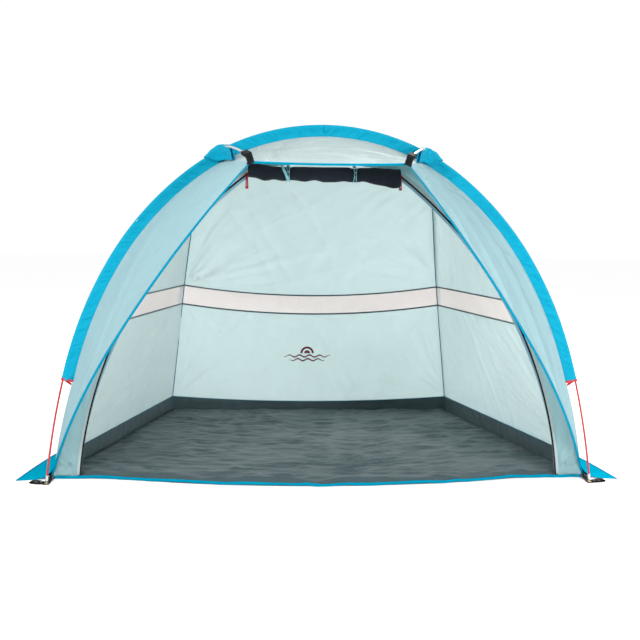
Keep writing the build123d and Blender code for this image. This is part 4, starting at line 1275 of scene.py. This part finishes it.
def build_pockets():
    """Webbing folded over each strut's front end, then down to the eave corner as a slanting tab."""
    end = STRUT.at(STRUT.length)
    heading = STRUT.heading(STRUT.length - 0.003)
    across = unit(np.cross(heading, UP))
    down = np.cross(heading, across)
    tilt = math.radians(22)
    aside = across * math.cos(tilt) - down * math.sin(tilt)
    along = across * math.sin(tilt) + down * math.cos(tilt)
    fold = [(-0.046, -0.0072), (-0.02, -0.0076), (0.001, -0.0092), (0.0078, -0.0094), (0.0092, -0.006),
            (0.0094, 0.010), (0.0092, 0.0285), (0.0066, 0.031), (0.001, 0.0305), (-0.006, 0.0285)]
    tab = ribbon(smooth_path([end + heading * a + along * b for a, b in fold], 90), aside, 0.0275, 0.0017)
    under = [(-0.046, 0.0066), (-0.02, 0.0068), (0.006, 0.0066)]
    under = smooth_path([end + heading * a + down * b for a, b in under], 30)
    cup = [ribbon(under, across, 0.0262, 0.0015)]
    for edge in (-1, 1):
        wall = end + heading * np.linspace(-0.046, 0.006, 24)[:, None] + across * 0.0132 * edge
        cup.append(ribbon(wall, down, 0.0136, 0.0014))
    rows = []
    for drop in (-0.004, 0.0245):
        row = end + heading * 0.0108 + along * drop + aside * np.linspace(-0.0115, 0.0115, 6)[:, None]
        rows.append(stitches(row, heading, 0.0032, 0.0024))
    for edge in (-0.0115, 0.0115):
        row = end + heading * 0.0108 + aside * edge + along * np.linspace(-0.004, 0.0245, 7)[:, None]
        rows.append(stitches(row, heading, 0.0032, 0.0024))
    for side in ("right", "left"):
        piece = place_parts(f"eave_pocket_{side}", on_side(side, [tab] + cup), "webbing_black")
        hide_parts(f"{side}_eave_pocket")
        place_parts(f"eave_pocket_stitching_{side}", on_side(side, rows), "thread_dark")


def build_ground():
    """Webbing tabs from the hem corners to the grommets, and the peg loops beyond them."""
    foot_x = float(ARCH.at(ARCH.length)[0])
    turn = math.radians(12)
    front_out = np.array([math.cos(turn), math.sin(turn), 0])
    back_foot = STRUT.at(0.0)
    back_out = unit(back_foot - np.array(BACK_CORNER))
    ends = (("front", np.array([foot_x, 0, 0]), front_out,
             [np.array(HEM_CORNER) + UP * 0.012, np.array([foot_x + 0.001, 0.045, 0.0042]),
              np.array([foot_x, 0.012, 0.0026]), np.array([foot_x, -0.0125, 0.0023])]),
            ("back", back_foot, back_out,
             [np.array(BACK_CORNER) + UP * 0.014, back_foot - back_out * 0.012 + UP * 0.0032,
              back_foot + UP * 0.0024, back_foot + back_out * 0.0125 + UP * 0.0023]))
    for end, foot, out, route in ends:
        route = smooth_path(route, 30)
        side_way = unit(np.cross(UP, route[-1] - route[0]))
        tab = [ribbon(route, side_way, WEB, 0.0019)]
        if end == "front":
            tab.append(ribbon(foot + out * np.linspace(-0.0125, 0.0128, 9)[:, None] + UP * 0.0022,
                              np.cross(UP, out), WEB, 0.0019))
        tab[0] = punched(tab[0], foot)
        piece = place_parts(f"ground_tabs_{end}", tab + mirrored(tab), "webbing_black")
        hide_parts(f"{end}_ground_tabs")
        thread = []
        for aside in (-0.009, 0.009):
            row = route[0] + side_way * aside + (route[3] - route[0]) * 0.4 + UP * 0.0012
            thread.append(stitches(np.linspace(row, row + (route[8] - route[3]), 8), UP, 0.003, 0.0022))
        place_parts(f"ground_tab_stitching_{end}", thread + mirrored(thread), "thread_white")
        build_loop(end, foot, out)


def punched(part, foot):
    """Webbing pressed thin under the grommet's flanges, so that the brass stands on it."""
    points, faces, uvs = part
    near = smooth(1 - np.linalg.norm(points[:, :2] - foot[:2], axis=1) / 0.016)
    pressed = points.copy()
    pressed[:, 2] = points[:, 2] * (1 - near) + 0.0021 * near + (points[:, 2] - 0.0023) * near * 0.3
    return pressed, faces, uvs


def build_loop(end, foot, out):
    """A peg loop: webbing out, round and back under itself, sewn at its inner end."""
    shape = [(0.0128, 0.0060), (0.020, 0.0085), (0.036, 0.0108), (0.056, 0.0106), (0.0675, 0.0088),
             (0.0708, 0.0058), (0.067, 0.0026), (0.052, 0.0013), (0.034, 0.0012), (0.020, 0.0024),
             (0.0128, 0.0042)]
    route = smooth_path([foot + out * a + UP * b for a, b in shape], 80)
    part = ribbon(route, np.cross(UP, out), WEB, 0.0016)
    bar = foot + out * 0.021 + UP * 0.0096 + np.cross(UP, out) * np.linspace(-0.0105, 0.0105, 6)[:, None]
    thread = [stitches(bar + out * shift, UP, 0.0026, 0.002) for shift in (-0.0015, 0.0015)]
    for side in ("right", "left"):
        body = f"{side}_{end}_peg_loop"
        piece = place_parts(f"peg_loop_{end}_{side}", on_side(side, [part]), "webbing_black", body)
        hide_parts(body)
        place_parts(f"peg_loop_stitching_{end}_{side}", on_side(side, thread), "thread_white", body)


# ---------------------------------------------------------------- printed emblem

def build_emblem():
    """A plain sun over two waves, printed on the back wall under the window."""
    parts = []
    middle_x, middle_z = -0.018, 0.352
    wall_half, lift = 0.78, 0.0022

    def on_wall(x, z):
        across = x / wall_half
        share = ridge_share(z)
        spot = back_surface(share, across)
        for _ in range(3):
            share = share + (z - spot[..., 2]) * 0.45
            spot = back_surface(share, across)
        return spot - BACK * lift

    for radii in (np.linspace(0.028, 0.04, 4), np.linspace(0.0005, 0.018, 5)):
        turn, radius = np.meshgrid(np.linspace(0, math.pi, 40), radii, indexing="ij")
        parts.append(on_wall(middle_x + radius * np.cos(turn), middle_z + radius * np.sin(turn)))
    for row, half in ((0, 0.14), (1, 0.105)):
        x, band = np.meshgrid(np.linspace(-half, half, 150), np.linspace(-0.5, 0.5, 4), indexing="ij")
        taper = np.sqrt(np.clip(1 - (x / half) ** 2, 0.02, 1))
        z = middle_z - 0.016 - 0.022 * row + 0.006 * np.sin(x / 0.0095 + row) + band * 0.009 * taper
        parts.append(on_wall(middle_x + x, z))
    for k, points in enumerate(parts):
        cloth(f"emblem_{k}", points, "emblem_print", thick=0.0004)


# ---------------------------------------------------------------- assembly

def dress_cad_nodes():
    """Gives each CAD node that still shows the material of its slot."""
    slots = {part["node"]: part["material_slot"] for part in frame["record"]["subparts"]}
    for node, piece in frame["nodes"].items():
        if not piece.hide_render:
            for slot in piece.material_slots:
                slot.material = MATERIALS[slots[node]]


build_back()
build_sides()
build_front()
build_seams()
build_sleeves()
build_floor()
build_flaps()
build_zippers()
build_pulls()
build_roll()
build_ties()
build_pockets()
build_ground()
build_emblem()
dress_cad_nodes()
